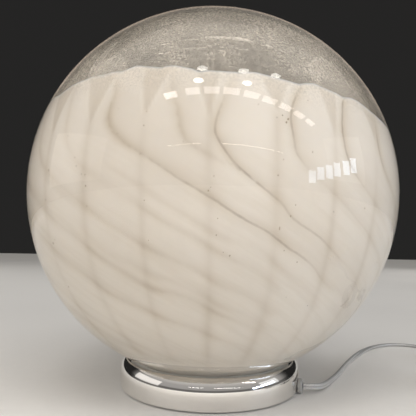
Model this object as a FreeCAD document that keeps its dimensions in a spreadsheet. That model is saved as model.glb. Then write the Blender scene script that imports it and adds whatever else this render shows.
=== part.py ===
import FreeCAD, Part
import Sketcher
import math
import os

# Glass globe table lamp.
# Millimetres. Origin on the surface the lamp stands on, at the middle of its
# round base; +Z up through the globe; the cord leaves on the +X side.

os.makedirs("parts", exist_ok=True)
doc = FreeCAD.newDocument("globe_lamp")
V3 = FreeCAD.Vector

# ---------------------------------------------------------------- sizes
SIZES = [
    # globe
    ("globe_radius", 175.0, "outer radius of the blown globe"),
    ("globe_height", 184.4, "height of the globe's centre"),
    ("glass_wall", 4.0, "thickness of the two layers of glass together"),
    ("globe_opening", 58.0, "radius of the hole at the globe's foot"),
    # spun base shell
    ("shell_radius", 86.6, "largest radius of the base shell"),
    ("shell_belt", 13.6, "height of that largest radius"),
    ("shell_metal", 1.5, "thickness of the base shell"),
    ("shoulder_radius", 18.0, "radius of the shoulder's curve"),
    ("shoulder_angle", 42.0, "angle the shoulder turns through"),
    ("bead_radius", 1.6, "radius of the rolled rim"),
    ("foot_radius", 85.9, "radius just above the foot edge"),
    ("foot_edge", 1.8, "rounding of the foot edge"),
    ("foot_gap", 0.6, "height of the foot edge over the felt's underside"),
    ("barrel_radius", 90.0, "curve of the side in section"),
    ("seat_sphere", 177.48, "radius of the dished seat, about the globe's centre"),
    ("seat_inner", 64.0, "inner radius of the dished seat"),
    # gasket
    ("gasket_inner", 66.0, "inner radius of the seat gasket"),
    ("gasket_outer", 74.0, "outer radius of the seat gasket"),
    ("glass_gap", 0.3, "gap from the gasket to the glass"),
    # plate, felt and ballast
    ("felt_radius", 80.0, "radius of the felt pad"),
    ("felt_thick", 1.5, "thickness of the felt pad"),
    ("plate_radius", 83.4, "radius of the bottom plate"),
    ("plate_thick", 2.5, "thickness of the bottom plate"),
    ("ballast_outer", 72.0, "outer radius of the ballast ring"),
    ("ballast_inner", 48.0, "inner radius of the ballast ring"),
    ("ballast_thick", 11.0, "height of the ballast ring"),
    ("ballast_slot", 15.0, "width of the cord slot in the ballast ring"),
    ("tab_circle", 79.3, "radius of the circle of tab screws"),
    ("tab_width", 10.0, "width of a shell tab"),
    ("ballast_circle", 60.0, "radius of the circle of ballast screws"),
    # bridge and nipple
    ("bridge_half", 29.5, "half the bridge's span"),
    ("bridge_foot", 42.0, "half length over the bridge's feet"),
    ("bridge_width", 22.0, "width of the bridge strip"),
    ("bridge_metal", 1.5, "thickness of the bridge strip"),
    ("bridge_top", 30.0, "height of the bridge's top"),
    ("bridge_circle", 36.0, "distance of the bridge's screws from the middle"),
    ("nipple_radius", 5.0, "outer radius of the threaded tube"),
    ("nipple_bore", 3.9, "inner radius of the threaded tube"),
    ("nipple_low", 23.5, "lower end of the threaded tube"),
    ("nipple_high", 45.0, "upper end of the threaded tube"),
    ("nut_height", 3.5, "height of a nipple nut"),
    ("nut_corner", 8.08, "corner radius of a nipple nut"),
    ("washer_radius", 8.5, "radius of a nipple washer"),
    ("washer_thick", 1.0, "thickness of a nipple washer"),
    # lampholder
    ("holder_low", 36.0, "lower end of the lampholder"),
    ("holder_radius", 21.0, "radius of the lampholder's cap"),
    ("sleeve_low", 59.1, "lower end of the lampholder's sleeve"),
    ("sleeve_high", 92.0, "upper end of the lampholder's sleeve"),
    ("insert_low", 56.0, "underside of the ceramic insert"),
    ("insert_high", 62.0, "top of the ceramic insert"),
    ("screw_bore", 13.6, "inner radius of the screw shell"),
    # bulb
    ("bulb_low", 64.3, "height of the bulb's end contact"),
    ("bulb_radius", 30.0, "radius of the bulb's envelope"),
    ("bulb_high", 172.3, "top of the bulb's envelope"),
    ("cap_crest", 13.1, "radius over the bulb cap's thread"),
    ("cap_root", 12.5, "radius under the bulb cap's thread"),
    ("thread_pitch", 3.629, "pitch of the bulb cap's thread"),
    # cord
    ("cord_width", 5.6, "width of the flat two-core cord"),
    ("exit_height", 6.6, "height of the cord's exit"),
    ("exit_angle", -20.0, "direction of the cord's exit from +X"),
    ("exit_radius", 90.4, "radius of the grommet's outer face"),
    ("grommet_flange", 6.2, "radius of the grommet's flange"),
    ("grommet_neck", 3.95, "radius of the grommet's neck"),
    ("grommet_bore", 2.95, "bore of the grommet"),
    ("coil_inner", 20.7, "inner radius of the put-away coil"),
    ("coil_outer", 41.3, "outer radius of the put-away coil"),
    ("coil_low", 0.9, "underside of the coil"),
    ("coil_high", 12.5, "top of the coil"),
    ("coil_x", 250.0, "coil centre"),
    ("coil_y", -14.0, "coil centre"),
    ("tie_width", 6.0, "width of the coil's tie"),
    ("tie_thick", 0.8, "thickness of the coil's tie"),
    # inline switch
    ("switch_x", 290.0, "switch centre"),
    ("switch_y", 86.0, "switch centre"),
    ("switch_turn", -95.0, "direction of the switch's long axis"),
    ("switch_length", 62.0, "length of the switch"),
    ("switch_width", 27.0, "width of the switch"),
    ("switch_split", 7.0, "height of the switch's parting line"),
    ("switch_high", 15.0, "height of the switch"),
    ("rocker_height", 10.6, "height of the rocker's pin"),
    ("rocker_tilt", 8.0, "tilt of the rocker either way"),
    ("pin_radius", 1.0, "radius of the rocker's pin"),
    # plug
    ("plug_x", 297.5, "start of the plug's strain relief"),
    ("plug_y", -99.0, "start of the plug's strain relief"),
    ("plug_turn", -84.0, "direction of the plug"),
    ("plug_thick", 13.7, "thickness of the plug"),
    ("plug_relief", 28.0, "length of the plug's strain relief"),
    ("plug_length", 36.0, "length of the plug's body"),
    ("prong_radius", 2.0, "radius of a plug pin"),
    ("prong_spacing", 18.6, "distance between the plug pins"),
    ("prong_length", 19.0, "length of a plug pin outside the body"),
]

sheet = doc.addObject("Spreadsheet::Sheet", "Sizes")
for row, (alias, number, note) in enumerate(SIZES, start=1):
    sheet.set("A%d" % row, note)
    sheet.set("B%d" % row, str(number))
    sheet.setAlias("B%d" % row, alias)
doc.recompute()


class Size:
    """A number of the sheet, or a sum made of such numbers, kept with its text."""

    def __init__(self, value, text):
        self.value = float(value)
        self.text = text

    def _join(self, other, sign, value, flip=False):
        a, b = (other, self) if flip else (self, other)
        return Size(value, "(%s %s %s)" % (a.text, sign, b.text))

    def __add__(self, other):
        other = size(other)
        return self._join(other, "+", self.value + other.value)

    def __radd__(self, other):
        return size(other) + self

    def __sub__(self, other):
        other = size(other)
        return self._join(other, "-", self.value - other.value)

    def __rsub__(self, other):
        return size(other) - self

    def __mul__(self, other):
        other = size(other)
        return self._join(other, "*", self.value * other.value)

    def __rmul__(self, other):
        return size(other) * self

    def __truediv__(self, other):
        other = size(other)
        return self._join(other, "/", self.value / other.value)

    def __neg__(self):
        return Size(-self.value, "(0 - %s)" % self.text)


def size(thing):
    if isinstance(thing, Size):
        return thing
    return Size(thing, "%.6f" % thing if thing >= 0 else "(0 - %.6f)" % -thing)


def cos_of(angle):
    angle = size(angle)
    return Size(math.cos(math.radians(angle.value)), "cos(%s * 1 deg)" % angle.text)


def sin_of(angle):
    angle = size(angle)
    return Size(math.sin(math.radians(angle.value)), "sin(%s * 1 deg)" % angle.text)


def root_of(thing):
    return Size(math.sqrt(thing.value), "sqrt(%s)" % thing.text)


D = {}
for alias, number, note in SIZES:
    D[alias] = Size(number, "Sizes.%s" % alias)


def sphere_low(radius, r):
    """Height of the lower side of a sphere about the globe's centre, at radius r."""
    return D["globe_height"] - root_of(radius * radius - size(r) * size(r))


# ---------------------------------------------------------------- helpers
NODES = []


def node(obj, label):
    obj.Label = label
    NODES.append(obj)
    return obj


def bind(obj, prop, value):
    value = size(value)
    setattr(obj, prop, value.value)
    if "Sizes." in value.text:
        obj.setExpression(prop, value.text)


def place(obj, x=0.0, y=0.0, z=0.0, turn=None, axis=V3(0, 0, 1), rotation=None):
    """Put obj at x, y, z; turn is in degrees about axis."""
    if rotation is None:
        rotation = FreeCAD.Rotation(axis, size(turn or 0.0).value)
    obj.Placement = FreeCAD.Placement(
        V3(size(x).value, size(y).value, size(z).value), rotation
    )
    for prop, value in (("x", x), ("y", y), ("z", z)):
        value = size(value)
        if "Sizes." in value.text:
            obj.setExpression("Placement.Base." + prop, value.text)
    return obj


ALONG = {
    "x": FreeCAD.Rotation(V3(0, 1, 0), 90),
    "y": FreeCAD.Rotation(V3(1, 0, 0), -90),
    "z": FreeCAD.Rotation(),
}


def cylinder(name, radius, height, x=0.0, y=0.0, z=0.0, along="z"):
    obj = doc.addObject("Part::Cylinder", name)
    bind(obj, "Radius", radius)
    bind(obj, "Height", height)
    return place(obj, x, y, z, rotation=ALONG[along])


def cone(name, radius1, radius2, height, x=0.0, y=0.0, z=0.0, along="z"):
    obj = doc.addObject("Part::Cone", name)
    bind(obj, "Radius1", radius1)
    bind(obj, "Radius2", radius2)
    bind(obj, "Height", height)
    return place(obj, x, y, z, rotation=ALONG[along])


def block(name, length, width, height, x=0.0, y=0.0, z=0.0, turn=None):
    obj = doc.addObject("Part::Box", name)
    bind(obj, "Length", length)
    bind(obj, "Width", width)
    bind(obj, "Height", height)
    return place(obj, x, y, z, turn)


def fuse(name, *things):
    obj = doc.addObject("Part::MultiFuse", name)
    obj.Shapes = list(things)
    return obj


def cut(name, base, *tools):
    obj = doc.addObject("Part::Cut", name)
    obj.Base = base
    obj.Tool = tools[0] if len(tools) == 1 else fuse(name + "_tools", *tools)
    return obj


def group(name, *things):
    obj = doc.addObject("Part::Compound", name)
    obj.Links = list(things)
    return obj


def plane(body, role):
    for item in body.Origin.OriginFeatures:
        if item.Role == role:
            return item
    raise RuntimeError("no plane " + role)


def new_body(name):
    return doc.addObject("PartDesign::Body", name)


def outline(body, name, role, points):
    """A closed outline. Each point is (x, y) or (x, y, radius, side), where the
    edge that starts there is an arc of that radius with its centre on the left
    (side 1) or the right (side -1)."""
    sk = body.newObject("Sketcher::SketchObject", name)
    sk.AttachmentSupport = [(plane(body, role), "")]
    sk.MapMode = "FlatFace"
    count = len(points)
    ends = []
    for i, p in enumerate(points):
        q = points[(i + 1) % count]
        a = V3(size(p[0]).value, size(p[1]).value, 0)
        b = V3(size(q[0]).value, size(q[1]).value, 0)
        if len(p) == 2:
            sk.addGeometry(Part.LineSegment(a, b), False)
            ends.append((1, 2))
            continue
        radius = size(p[2]).value
        chord = b - a
        half = chord.Length / 2
        left = V3(-chord.y, chord.x, 0).normalize()
        rise = math.sqrt(max(radius * radius - half * half, 0.0))
        centre = (a + b) * 0.5 + left * (rise * p[3])
        at_a = math.atan2(a.y - centre.y, a.x - centre.x)
        at_b = math.atan2(b.y - centre.y, b.x - centre.x)
        circle = Part.Circle(centre, V3(0, 0, 1), radius)
        if p[3] > 0:
            sk.addGeometry(Part.ArcOfCircle(circle, at_a, at_b), False)
            ends.append((1, 2))
        else:
            sk.addGeometry(Part.ArcOfCircle(circle, at_b, at_a), False)
            ends.append((2, 1))
    for i in range(count):
        j = (i + 1) % count
        sk.addConstraint(Sketcher.Constraint("Coincident", i, ends[i][1], j, ends[j][0]))
    for i, p in enumerate(points):
        for kind, value, axis_id in (("DistanceX", p[0], -2), ("DistanceY", p[1], -1)):
            value = size(value)
            if abs(value.value) < 1e-9:
                sk.addConstraint(Sketcher.Constraint("PointOnObject", i, ends[i][0], axis_id))
                continue
            at = sk.addConstraint(
                Sketcher.Constraint(kind, -1, 1, i, ends[i][0], value.value)
            )
            if "Sizes." in value.text:
                sk.setExpression("Constraints[%d]" % at, value.text)
        if len(p) == 4:
            radius = size(p[2])
            at = sk.addConstraint(Sketcher.Constraint("Radius", i, radius.value))
            if "Sizes." in radius.text:
                sk.setExpression("Constraints[%d]" % at, radius.text)
    return sk


def turned(name, points, label=None, z=0.0):
    """A body turned about the vertical axis from an outline of (radius, height)."""
    body = new_body(name)
    sk = outline(body, name + "_outline", "XZ_Plane", points)
    rev = body.newObject("PartDesign::Revolution", name + "_turned")
    rev.Profile = sk
    rev.ReferenceAxis = (sk, ["V_Axis"])
    rev.Angle = 360.0
    sk.Visibility = False
    if label:
        node(body, label)
    return body


def padded(name, role, points, length, midplane=False, reverse=False):
    body = new_body(name)
    sk = outline(body, name + "_outline", role, points)
    pad = body.newObject("PartDesign::Pad", name + "_pad")
    pad.Profile = sk
    bind(pad, "Length", length)
    pad.Midplane = midplane
    pad.Reversed = reverse
    return body, pad


def pan_screw(name, radius, length, head_radius, head_height, x, y, z, up=True):
    """A pan-head screw whose head rests at height z, the shank going down, or up
    when up is False."""
    if up:
        shank = cylinder(name + "_shank", radius, length, x, y, size(z) - length)
        head = cylinder(name + "_head", head_radius, head_height, x, y, z)
        slot = block(
            name + "_slot", head_radius * 2.2, 0.8, head_height * 0.5,
            size(x) - head_radius * 1.1, size(y) - 0.4, size(z) + head_height * 0.6,
        )
    else:
        shank = cylinder(name + "_shank", radius, length, x, y, z)
        head = cylinder(name + "_head", head_radius, head_height, x, y, size(z) - head_height)
        slot = block(
            name + "_slot", head_radius * 2.2, 0.8, head_height * 0.4 + 0.2,
            size(x) - head_radius * 1.1, size(y) - 0.4, size(z) - head_height - 0.2,
        )
    return cut(name, fuse(name + "_blank", shank, head), slot)


def flush_screw(name, radius, length, head_radius, head_height, x, y, z):
    """A countersunk screw whose flat head is flush at height z, pointing up."""
    shank = cylinder(name + "_shank", radius, length, x, y, z)
    head = cone(name + "_head", head_radius, radius, head_height, x, y, z)
    slot = block(
        name + "_slot", head_radius * 2.2, 0.7, 1.0,
        size(x) - head_radius * 1.1, size(y) - 0.35, size(z) - 0.4,
    )
    return cut(name, fuse(name + "_blank", shank, head), slot)


# ---------------------------------------------------------------- the globe
R_OUT = D["globe_radius"]
R_IN = D["globe_radius"] - D["glass_wall"]
H = D["globe_height"]
OPEN = D["globe_opening"]
turned(
    "globe_body",
    [
        (OPEN, sphere_low(R_OUT, OPEN), R_OUT, 1),
        (0.0, H + R_OUT),
        (0.0, H + R_IN, R_IN, -1),
        (OPEN, sphere_low(R_IN, OPEN)),
    ],
    "glass_globe",
)

# ---------------------------------------------------------------- base shell
SR = D["shoulder_radius"]
BELT = D["shell_belt"]
MID = D["shell_radius"] - SR
ANG = D["shoulder_angle"]
BEAD = D["bead_radius"]
end_r = MID + SR * cos_of(ANG)
end_h = BELT + SR * sin_of(ANG)
bead_r = end_r - BEAD * cos_of(ANG)
bead_h = end_h - BEAD * sin_of(ANG)
lip_r = bead_r + BEAD * cos_of(117.0)
SEAT = D["seat_sphere"]
UNDER = SEAT + D["shell_metal"]
METAL = D["shell_metal"]
join_r = end_r - 1.18
shell = turned(
    "shell_spun",
    [
        (D["foot_radius"] - 2.3, D["foot_gap"]),
        (D["foot_radius"] - D["foot_edge"], D["foot_gap"], D["foot_edge"], 1),
        (D["foot_radius"], D["foot_gap"] + D["foot_edge"], D["barrel_radius"], 1),
        (D["shell_radius"], BELT, SR, 1),
        (end_r, end_h, BEAD, 1),
        (lip_r, sphere_low(SEAT, lip_r), SEAT, -1),
        (D["seat_inner"], sphere_low(SEAT, D["seat_inner"])),
        (D["seat_inner"], sphere_low(UNDER, D["seat_inner"]), UNDER, 1),
        (join_r, sphere_low(UNDER, join_r), SR - METAL, -1),
        (D["shell_radius"] - METAL, BELT),
        (D["foot_radius"] - 1.5, D["foot_gap"] + 1.6),
    ],
)
A = D["exit_angle"]
hole = doc.addObject("Part::Cylinder", "shell_hole")
bind(hole, "Radius", D["grommet_neck"] + 0.1)
bind(hole, "Height", 12.0)
place(
    hole, cos_of(A) * 80.0, sin_of(A) * 80.0, D["exit_height"],
    rotation=FreeCAD.Rotation(V3(0, 0, 1), V3(math.cos(math.radians(-20)), math.sin(math.radians(-20)), 0)),
)
node(cut("shell_cut", shell, hole), "base_shell")

# gasket on the dished seat
GI, GO = D["gasket_inner"], D["gasket_outer"]
G_TOP = R_OUT + D["glass_gap"]
G_LOW = SEAT - 0.05
turned(
    "gasket_body",
    [
        (GI, sphere_low(G_LOW, GI), G_LOW, 1),
        (GO, sphere_low(G_LOW, GO)),
        (GO, sphere_low(G_TOP, GO), G_TOP, -1),
        (GI, sphere_low(G_TOP, GI)),
    ],
    "seat_gasket",
)

# ---------------------------------------------------------------- plate, felt, ballast
FELT = D["felt_thick"]
TOP = D["felt_thick"] + D["plate_thick"]
node(cylinder("felt", D["felt_radius"], FELT), "felt_pad")

TAB_ANGLES = (40.0, 160.0, 280.0)
plate_tools = []
for i, angle in enumerate(TAB_ANGLES):
    x, y = D["tab_circle"] * cos_of(angle), D["tab_circle"] * sin_of(angle)
    plate_tools.append(cylinder("plate_tab_hole%d" % i, 1.6, 8.0, x, y, 0.0))
    plate_tools.append(cone("plate_tab_sink%d" % i, 2.95, 1.5, 1.8, x, y, FELT - 0.1))
    x, y = D["ballast_circle"] * cos_of(angle), D["ballast_circle"] * sin_of(angle)
    plate_tools.append(cylinder("plate_ballast_hole%d" % i, 2.1, 8.0, x, y, 0.0))
    plate_tools.append(cone("plate_ballast_sink%d" % i, 3.95, 2.0, 2.3, x, y, FELT - 0.1))
for i, side in enumerate((-1, 1)):
    plate_tools.append(
        cylinder("plate_bridge_hole%d" % i, 2.05, 8.0, 0.0, D["bridge_circle"] * side, 0.0)
    )
    # clamp holes, one each side of the cord
    plate_tools.append(
        cylinder(
            "plate_clamp_hole%d" % i, 1.55, 8.0,
            cos_of(A) * 41.0 - sin_of(A) * (9.4 * side),
            sin_of(A) * 41.0 + cos_of(A) * (9.4 * side), 0.0,
        )
    )
plate_tools.append(
    block(
        "plate_notch", 12.0, 13.0, 8.0,
        cos_of(A) * 75.5 + sin_of(A) * 6.5, sin_of(A) * 75.5 - cos_of(A) * 6.5, 0.0, A,
    )
)
plate = cylinder("plate_disc", D["plate_radius"], D["plate_thick"], 0, 0, FELT)
node(cut("plate_cut", plate, *plate_tools), "bottom_plate")

ring = cut(
    "ballast_blank",
    cylinder("ballast_disc", D["ballast_outer"], D["ballast_thick"], 0, 0, TOP),
    cylinder("ballast_bore", D["ballast_inner"], D["ballast_thick"] + 2, 0, 0, TOP - 1),
)
slot = block(
    "ballast_slot_block", 40.0, D["ballast_slot"], D["ballast_thick"] + 2,
    cos_of(A) * 40.0 + sin_of(A) * (D["ballast_slot"] / 2),
    sin_of(A) * 40.0 - cos_of(A) * (D["ballast_slot"] / 2),
    TOP - 1, A,
)
ballast_holes = [
    cylinder(
        "ballast_hole%d" % i, 2.05, 30.0,
        D["ballast_circle"] * cos_of(angle), D["ballast_circle"] * sin_of(angle), 0.0,
    )
    for i, angle in enumerate(TAB_ANGLES)
]
node(cut("ballast_cut", ring, slot, *ballast_holes), "ballast_ring")

tabs, tab_screws, ballast_screws = [], [], []
for i, angle in enumerate(TAB_ANGLES):
    w = D["tab_width"]
    foot = block(
        "tab_foot%d" % i, 9.0, w, 1.5,
        cos_of(angle) * 75.2 + sin_of(angle) * (w / 2),
        sin_of(angle) * 75.2 - cos_of(angle) * (w / 2), TOP, angle,
    )
    leg = block(
        "tab_leg%d" % i, 1.5, w, 8.0,
        cos_of(angle) * 82.7 + sin_of(angle) * (w / 2),
        sin_of(angle) * 82.7 - cos_of(angle) * (w / 2), TOP, angle,
    )
    x, y = D["tab_circle"] * cos_of(angle), D["tab_circle"] * sin_of(angle)
    bore = cylinder("tab_bore%d" % i, 1.55, 8.0, x, y, TOP - 1)
    tabs.append(cut("tab%d" % i, fuse("tab_blank%d" % i, foot, leg), bore))
    tab_screws.append(flush_screw("tab_screw%d" % i, 1.5, 6.0, 2.75, 1.5, x, y, FELT))
    x, y = D["ballast_circle"] * cos_of(angle), D["ballast_circle"] * sin_of(angle)
    ballast_screws.append(flush_screw("weight_screw%d" % i, 2.0, 10.0, 3.75, 2.0, x, y, FELT))
node(group("tabs", *tabs), "shell_tabs")
node(group("tab_screws", *tab_screws), "shell_screws")
node(group("weight_screws", *ballast_screws), "ballast_screws")

# ---------------------------------------------------------------- bridge and nipple
BH, BF, BM, BT = D["bridge_half"], D["bridge_foot"], D["bridge_metal"], D["bridge_top"]
bridge, bridge_pad = padded(
    "bridge_strip", "YZ_Plane",
    [
        (-BF, TOP), (-BH + BM, TOP), (-BH + BM, BT - BM), (BH - BM, BT - BM),
        (BH - BM, TOP), (BF, TOP), (BF, TOP + BM), (BH, TOP + BM), (BH, BT),
        (-BH, BT), (-BH, TOP + BM), (-BF, TOP + BM),
    ],
    D["bridge_width"], midplane=True,
)
bridge_holes = [cylinder("bridge_bore", D["nipple_radius"] + 0.1, 6.0, 0, 0, BT - 4)]
for i, side in enumerate((-1, 1)):
    bridge_holes.append(
        cylinder("bridge_foot_hole%d" % i, 2.1, 6.0, 0.0, D["bridge_circle"] * side, TOP - 1)
    )
node(cut("bridge_cut", bridge, *bridge_holes), "holder_bridge")
node(
    group(
        "bridge_screw_pair",
        *[
            pan_screw(
                "bridge_screw%d" % i, 2.0, 3.8, 3.5, 2.4, 0.0,
                D["bridge_circle"] * side, TOP + BM,
            )
            for i, side in enumerate((-1, 1))
        ]
    ),
    "bridge_screws",
)
NL, NH = D["nipple_low"], D["nipple_high"]
node(
    cut(
        "nipple_cut",
        cylinder("nipple_rod", D["nipple_radius"], NH - NL, 0, 0, NL),
        cylinder("nipple_hole", D["nipple_bore"], NH - NL + 2, 0, 0, NL - 1),
    ),
    "threaded_nipple",
)
nuts, washers = [], []
WT = D["washer_thick"]
for i, low in enumerate((BT - BM - WT - D["nut_height"], BT + WT)):
    hexagon = doc.addObject("Part::Prism", "nut_hexagon%d" % i)
    hexagon.Polygon = 6
    bind(hexagon, "Circumradius", D["nut_corner"])
    bind(hexagon, "Height", D["nut_height"])
    place(hexagon, 0, 0, low)
    nuts.append(
        cut("nut%d" % i, hexagon, cylinder("nut_bore%d" % i, D["nipple_radius"] + 0.05, 8.0, 0, 0, low - 2))
    )
for i, low in enumerate((BT - BM - WT, BT)):
    washers.append(
        cut(
            "washer%d" % i,
            cylinder("washer_disc%d" % i, D["washer_radius"], WT, 0, 0, low),
            cylinder("washer_bore%d" % i, D["nipple_radius"] + 0.08, 4.0, 0, 0, low - 1),
        )
    )
node(group("nut_pair", *nuts), "nipple_nuts")
node(group("washer_pair", *washers), "nipple_washers")

# ---------------------------------------------------------------- lampholder
HL, HR = D["holder_low"], D["holder_radius"]
N5 = D["nipple_radius"] + 0.05
turned(
    "cap_body",
    [
        (N5, HL), (N5 + 4.0, HL), (N5 + 4.0, HL + 6, 16.0, 1),
        (HR, HL + 17), (HR, HL + 23), (HR - 2, HL + 23), (HR - 2, HL + 18.5),
        (N5 + 5.2, HL + 9), (N5, HL + 9),
    ],
    "holder_cap",
)
SL, SH = D["sleeve_low"], D["sleeve_high"]
sleeve = turned(
    "sleeve_body",
    [
        (HR - 2.4, SL), (HR - 0.5, SL), (HR - 0.5, SH - 1.5, 1.5, 1), (HR - 2.0, SH),
        (15.6, SH), (15.6, SH - 2), (HR - 2.4, SH - 2),
    ],
    "holder_sleeve",
)
insert = turned(
    "insert_body",
    [
        (4.0, D["insert_low"]), (18.3, D["insert_low"]), (18.3, D["insert_high"]),
        (4.0, D["insert_high"]),
    ],
)
wire_holes = [
    cylinder("insert_hole%d" % i, 1.4, 10.0, 0.0, 8.0 * side, D["insert_low"] - 2)
    for i, side in enumerate((-1, 1))
]
node(cut("insert_cut", insert, *wire_holes), "holder_insert")
SB = D["screw_bore"]
turned(
    "screw_shell_body",
    [
        (SB, D["insert_high"]), (SB + 0.5, D["insert_high"]),
        (SB + 0.5, D["insert_high"] + 26), (SB, D["insert_high"] + 26),
    ],
    "holder_screw_shell",
)
IH = D["insert_high"]
contact, contact_pad = padded(
    "contact_strip", "XZ_Plane",
    [
        (-7.0, IH + 0.02), (6.0, IH + 0.02), (6.0, IH + 0.62), (-6.0, IH + 0.62),
        (-2.5, IH + 1.35), (4.0, IH + 1.35), (4.0, IH + 1.95), (-3.0, IH + 1.95),
        (-7.0, IH + 1.0),
    ],
    5.0, midplane=True,
)
node(contact, "holder_contact")
terminals, terminal_screws = [], []
for i, side in enumerate((-1, 1)):
    lump = block("terminal_block%d" % i, 6.0, 6.0, 7.0, 9.0 * side - 3.0, -3.0, D["insert_low"] - 7.0)
    entry = cylinder("terminal_entry%d" % i, 1.2, 3.5, 9.0 * side, 0.0, D["insert_low"] - 7.5)
    tap = cylinder("terminal_tap%d" % i, 1.25, 4.0, 9.0 * side, -4.0, D["insert_low"] - 3.5, "y")
    terminals.append(cut("terminal%d" % i, lump, entry, tap))
    shank = cylinder("terminal_screw_shank%d" % i, 1.2, 1.95, 9.0 * side, -3.1, D["insert_low"] - 3.5, "y")
    head = cylinder("terminal_screw_head%d" % i, 2.0, 1.3, 9.0 * side, -4.35, D["insert_low"] - 3.5, "y")
    terminal_screws.append(fuse("terminal_screw%d" % i, shank, head))
node(group("terminal_pair", *terminals), "holder_terminals")
node(group("terminal_screw_pair", *terminal_screws), "holder_terminal_screws")

# ---------------------------------------------------------------- bulb
BL, BR, BTOP = D["bulb_low"], D["bulb_radius"], D["bulb_high"]
node(cylinder("end_contact", 4.7, 0.95, 0, 0, BL), "bulb_contact")
turned(
    "bulb_insulator_body",
    [(0.0, BL + 1), (5.2, BL + 1), (11.2, BL + 4.6), (11.2, BL + 5.2), (0.0, BL + 5.2)],
    "bulb_insulator",
)
CR, CT, PT = D["cap_root"], D["cap_crest"], D["thread_pitch"]
ridge = [(CR - 0.45, BL + 4.9), (CR - 0.1, BL + 4.9)]
ridge += [(CR, BL + 6.0)]
for i in range(5):
    low = BL + 6.4 + PT * float(i)
    ridge += [(CR, low), (CT, low + PT * 0.3), (CT, low + PT * 0.55), (CR, low + PT * 0.85)]
ridge += [(CR, BL + 25.5), (CR + 0.35, BL + 26.2), (CR + 0.35, BL + 27.0), (CR - 0.45, BL + 27.0)]
turned("bulb_cap_body", ridge, "bulb_cap")
CZ = BTOP - BR
a28, b28 = BR * cos_of(28.0), CZ - BR * sin_of(28.0)
BI = BR - 0.8
a28i, b28i = BI * cos_of(28.0), CZ - BI * sin_of(28.0)
neck = 12.0
turned(
    "bulb_glass_body",
    [
        (neck - 0.8, BL + 22), (neck, BL + 22), (neck, BL + 27.2), (neck + 0.6, BL + 31, 42.0, -1),
        (a28 - 9.5, b28 - 17.87), (a28, b28, BR, 1), (0.0, BTOP), (0.0, BTOP - 0.8, BI, -1),
        (a28i, b28i), (a28i - 9.5, b28i - 17.87, 42.8, 1), (neck - 0.2, BL + 31.2), (neck - 0.8, BL + 27.2),
    ],
    "bulb_glass",
)
turned(
    "bulb_stem_body",
    [
        (0.0, BL + 22), (10.6, BL + 22), (10.6, BL + 23), (3.0, BL + 34), (2.4, BL + 52),
        (1.4, BL + 53), (1.2, BL + 66), (0.0, BL + 66.6),
    ],
    "bulb_stem",
)
filament = doc.addObject("Part::Torus", "filament_ring")
bind(filament, "Radius1", 11.0)
bind(filament, "Radius2", 0.45)
filament.Angle3 = 200.0
place(filament, 0, 0, BL + 74.0, -10.0)
leads = []
for i, side in enumerate((-1, 1)):
    lead = doc.addObject("Part::Cylinder", "lead%d" % i)
    bind(lead, "Radius", 0.35)
    low = V3(1.6 * side, 0.0, BL.value + 49.0)
    high = V3(10.83 * side, -1.9, BL.value + 73.4)
    bind(lead, "Height", (high - low).Length)
    place(lead, low.x, low.y, BL + 49.0, rotation=FreeCAD.Rotation(V3(0, 0, 1), high - low))
    leads.append(lead)
node(filament, "bulb_filament")
node(group("lead_pair", *leads), "bulb_lead_wires")

# ---------------------------------------------------------------- grommet and clamp
RF = D["exit_radius"]
gro = new_body("grommet_body")
gro_sk = outline(
    gro, "grommet_outline", "XZ_Plane",
    [
        (RF - 9.6, D["grommet_bore"]), (RF, D["grommet_bore"]),
        (RF, D["grommet_flange"] - 1.4, 1.4, 1), (RF - 1.4, D["grommet_flange"]),
        (RF - 3.62, D["grommet_flange"]), (RF - 3.62, D["grommet_neck"]),
        (RF - 6.4, D["grommet_neck"]), (RF - 6.4, D["grommet_neck"] + 0.6),
        (RF - 9.6, D["grommet_neck"] + 0.1),
    ],
)
gro_turn = gro.newObject("PartDesign::Revolution", "grommet_turned")
gro_turn.Profile = gro_sk
gro_turn.ReferenceAxis = (gro_sk, ["H_Axis"])
gro_turn.Angle = 360.0
place(gro, 0, 0, D["exit_height"], A)
node(gro, "cord_grommet")

clamp, clamp_pad = padded(
    "clamp_bar", "YZ_Plane",
    [
        (-12.6, 0.0), (-5.0, 0.0), (-5.0, 3.4), (-3.2, 6.0), (3.2, 6.0), (5.0, 3.4),
        (5.0, 0.0), (12.6, 0.0), (12.6, 2.4), (6.6, 2.4), (6.6, 4.6), (4.2, 7.6),
        (-4.2, 7.6), (-6.6, 4.6), (-6.6, 2.4), (-12.6, 2.4),
    ],
    7.0, midplane=True,
)
place(clamp, cos_of(A) * 41.0, sin_of(A) * 41.0, TOP, A)
clamp_holes = [
    cylinder(
        "clamp_hole%d" % i, 1.6, 6.0,
        cos_of(A) * 41.0 - sin_of(A) * (9.4 * side),
        sin_of(A) * 41.0 + cos_of(A) * (9.4 * side), TOP - 1,
    )
    for i, side in enumerate((-1, 1))
]
node(cut("clamp_cut", clamp, *clamp_holes), "cord_clamp")
node(
    group(
        "clamp_screw_pair",
        *[
            pan_screw(
                "clamp_screw%d" % i, 1.5, 4.6, 2.4, 1.8,
                cos_of(A) * 41.0 - sin_of(A) * (9.4 * side),
                sin_of(A) * 41.0 + cos_of(A) * (9.4 * side), TOP + 2.4,
            )
            for i, side in enumerate((-1, 1))
        ]
    ),
    "clamp_screws",
)

doc.recompute()


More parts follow.
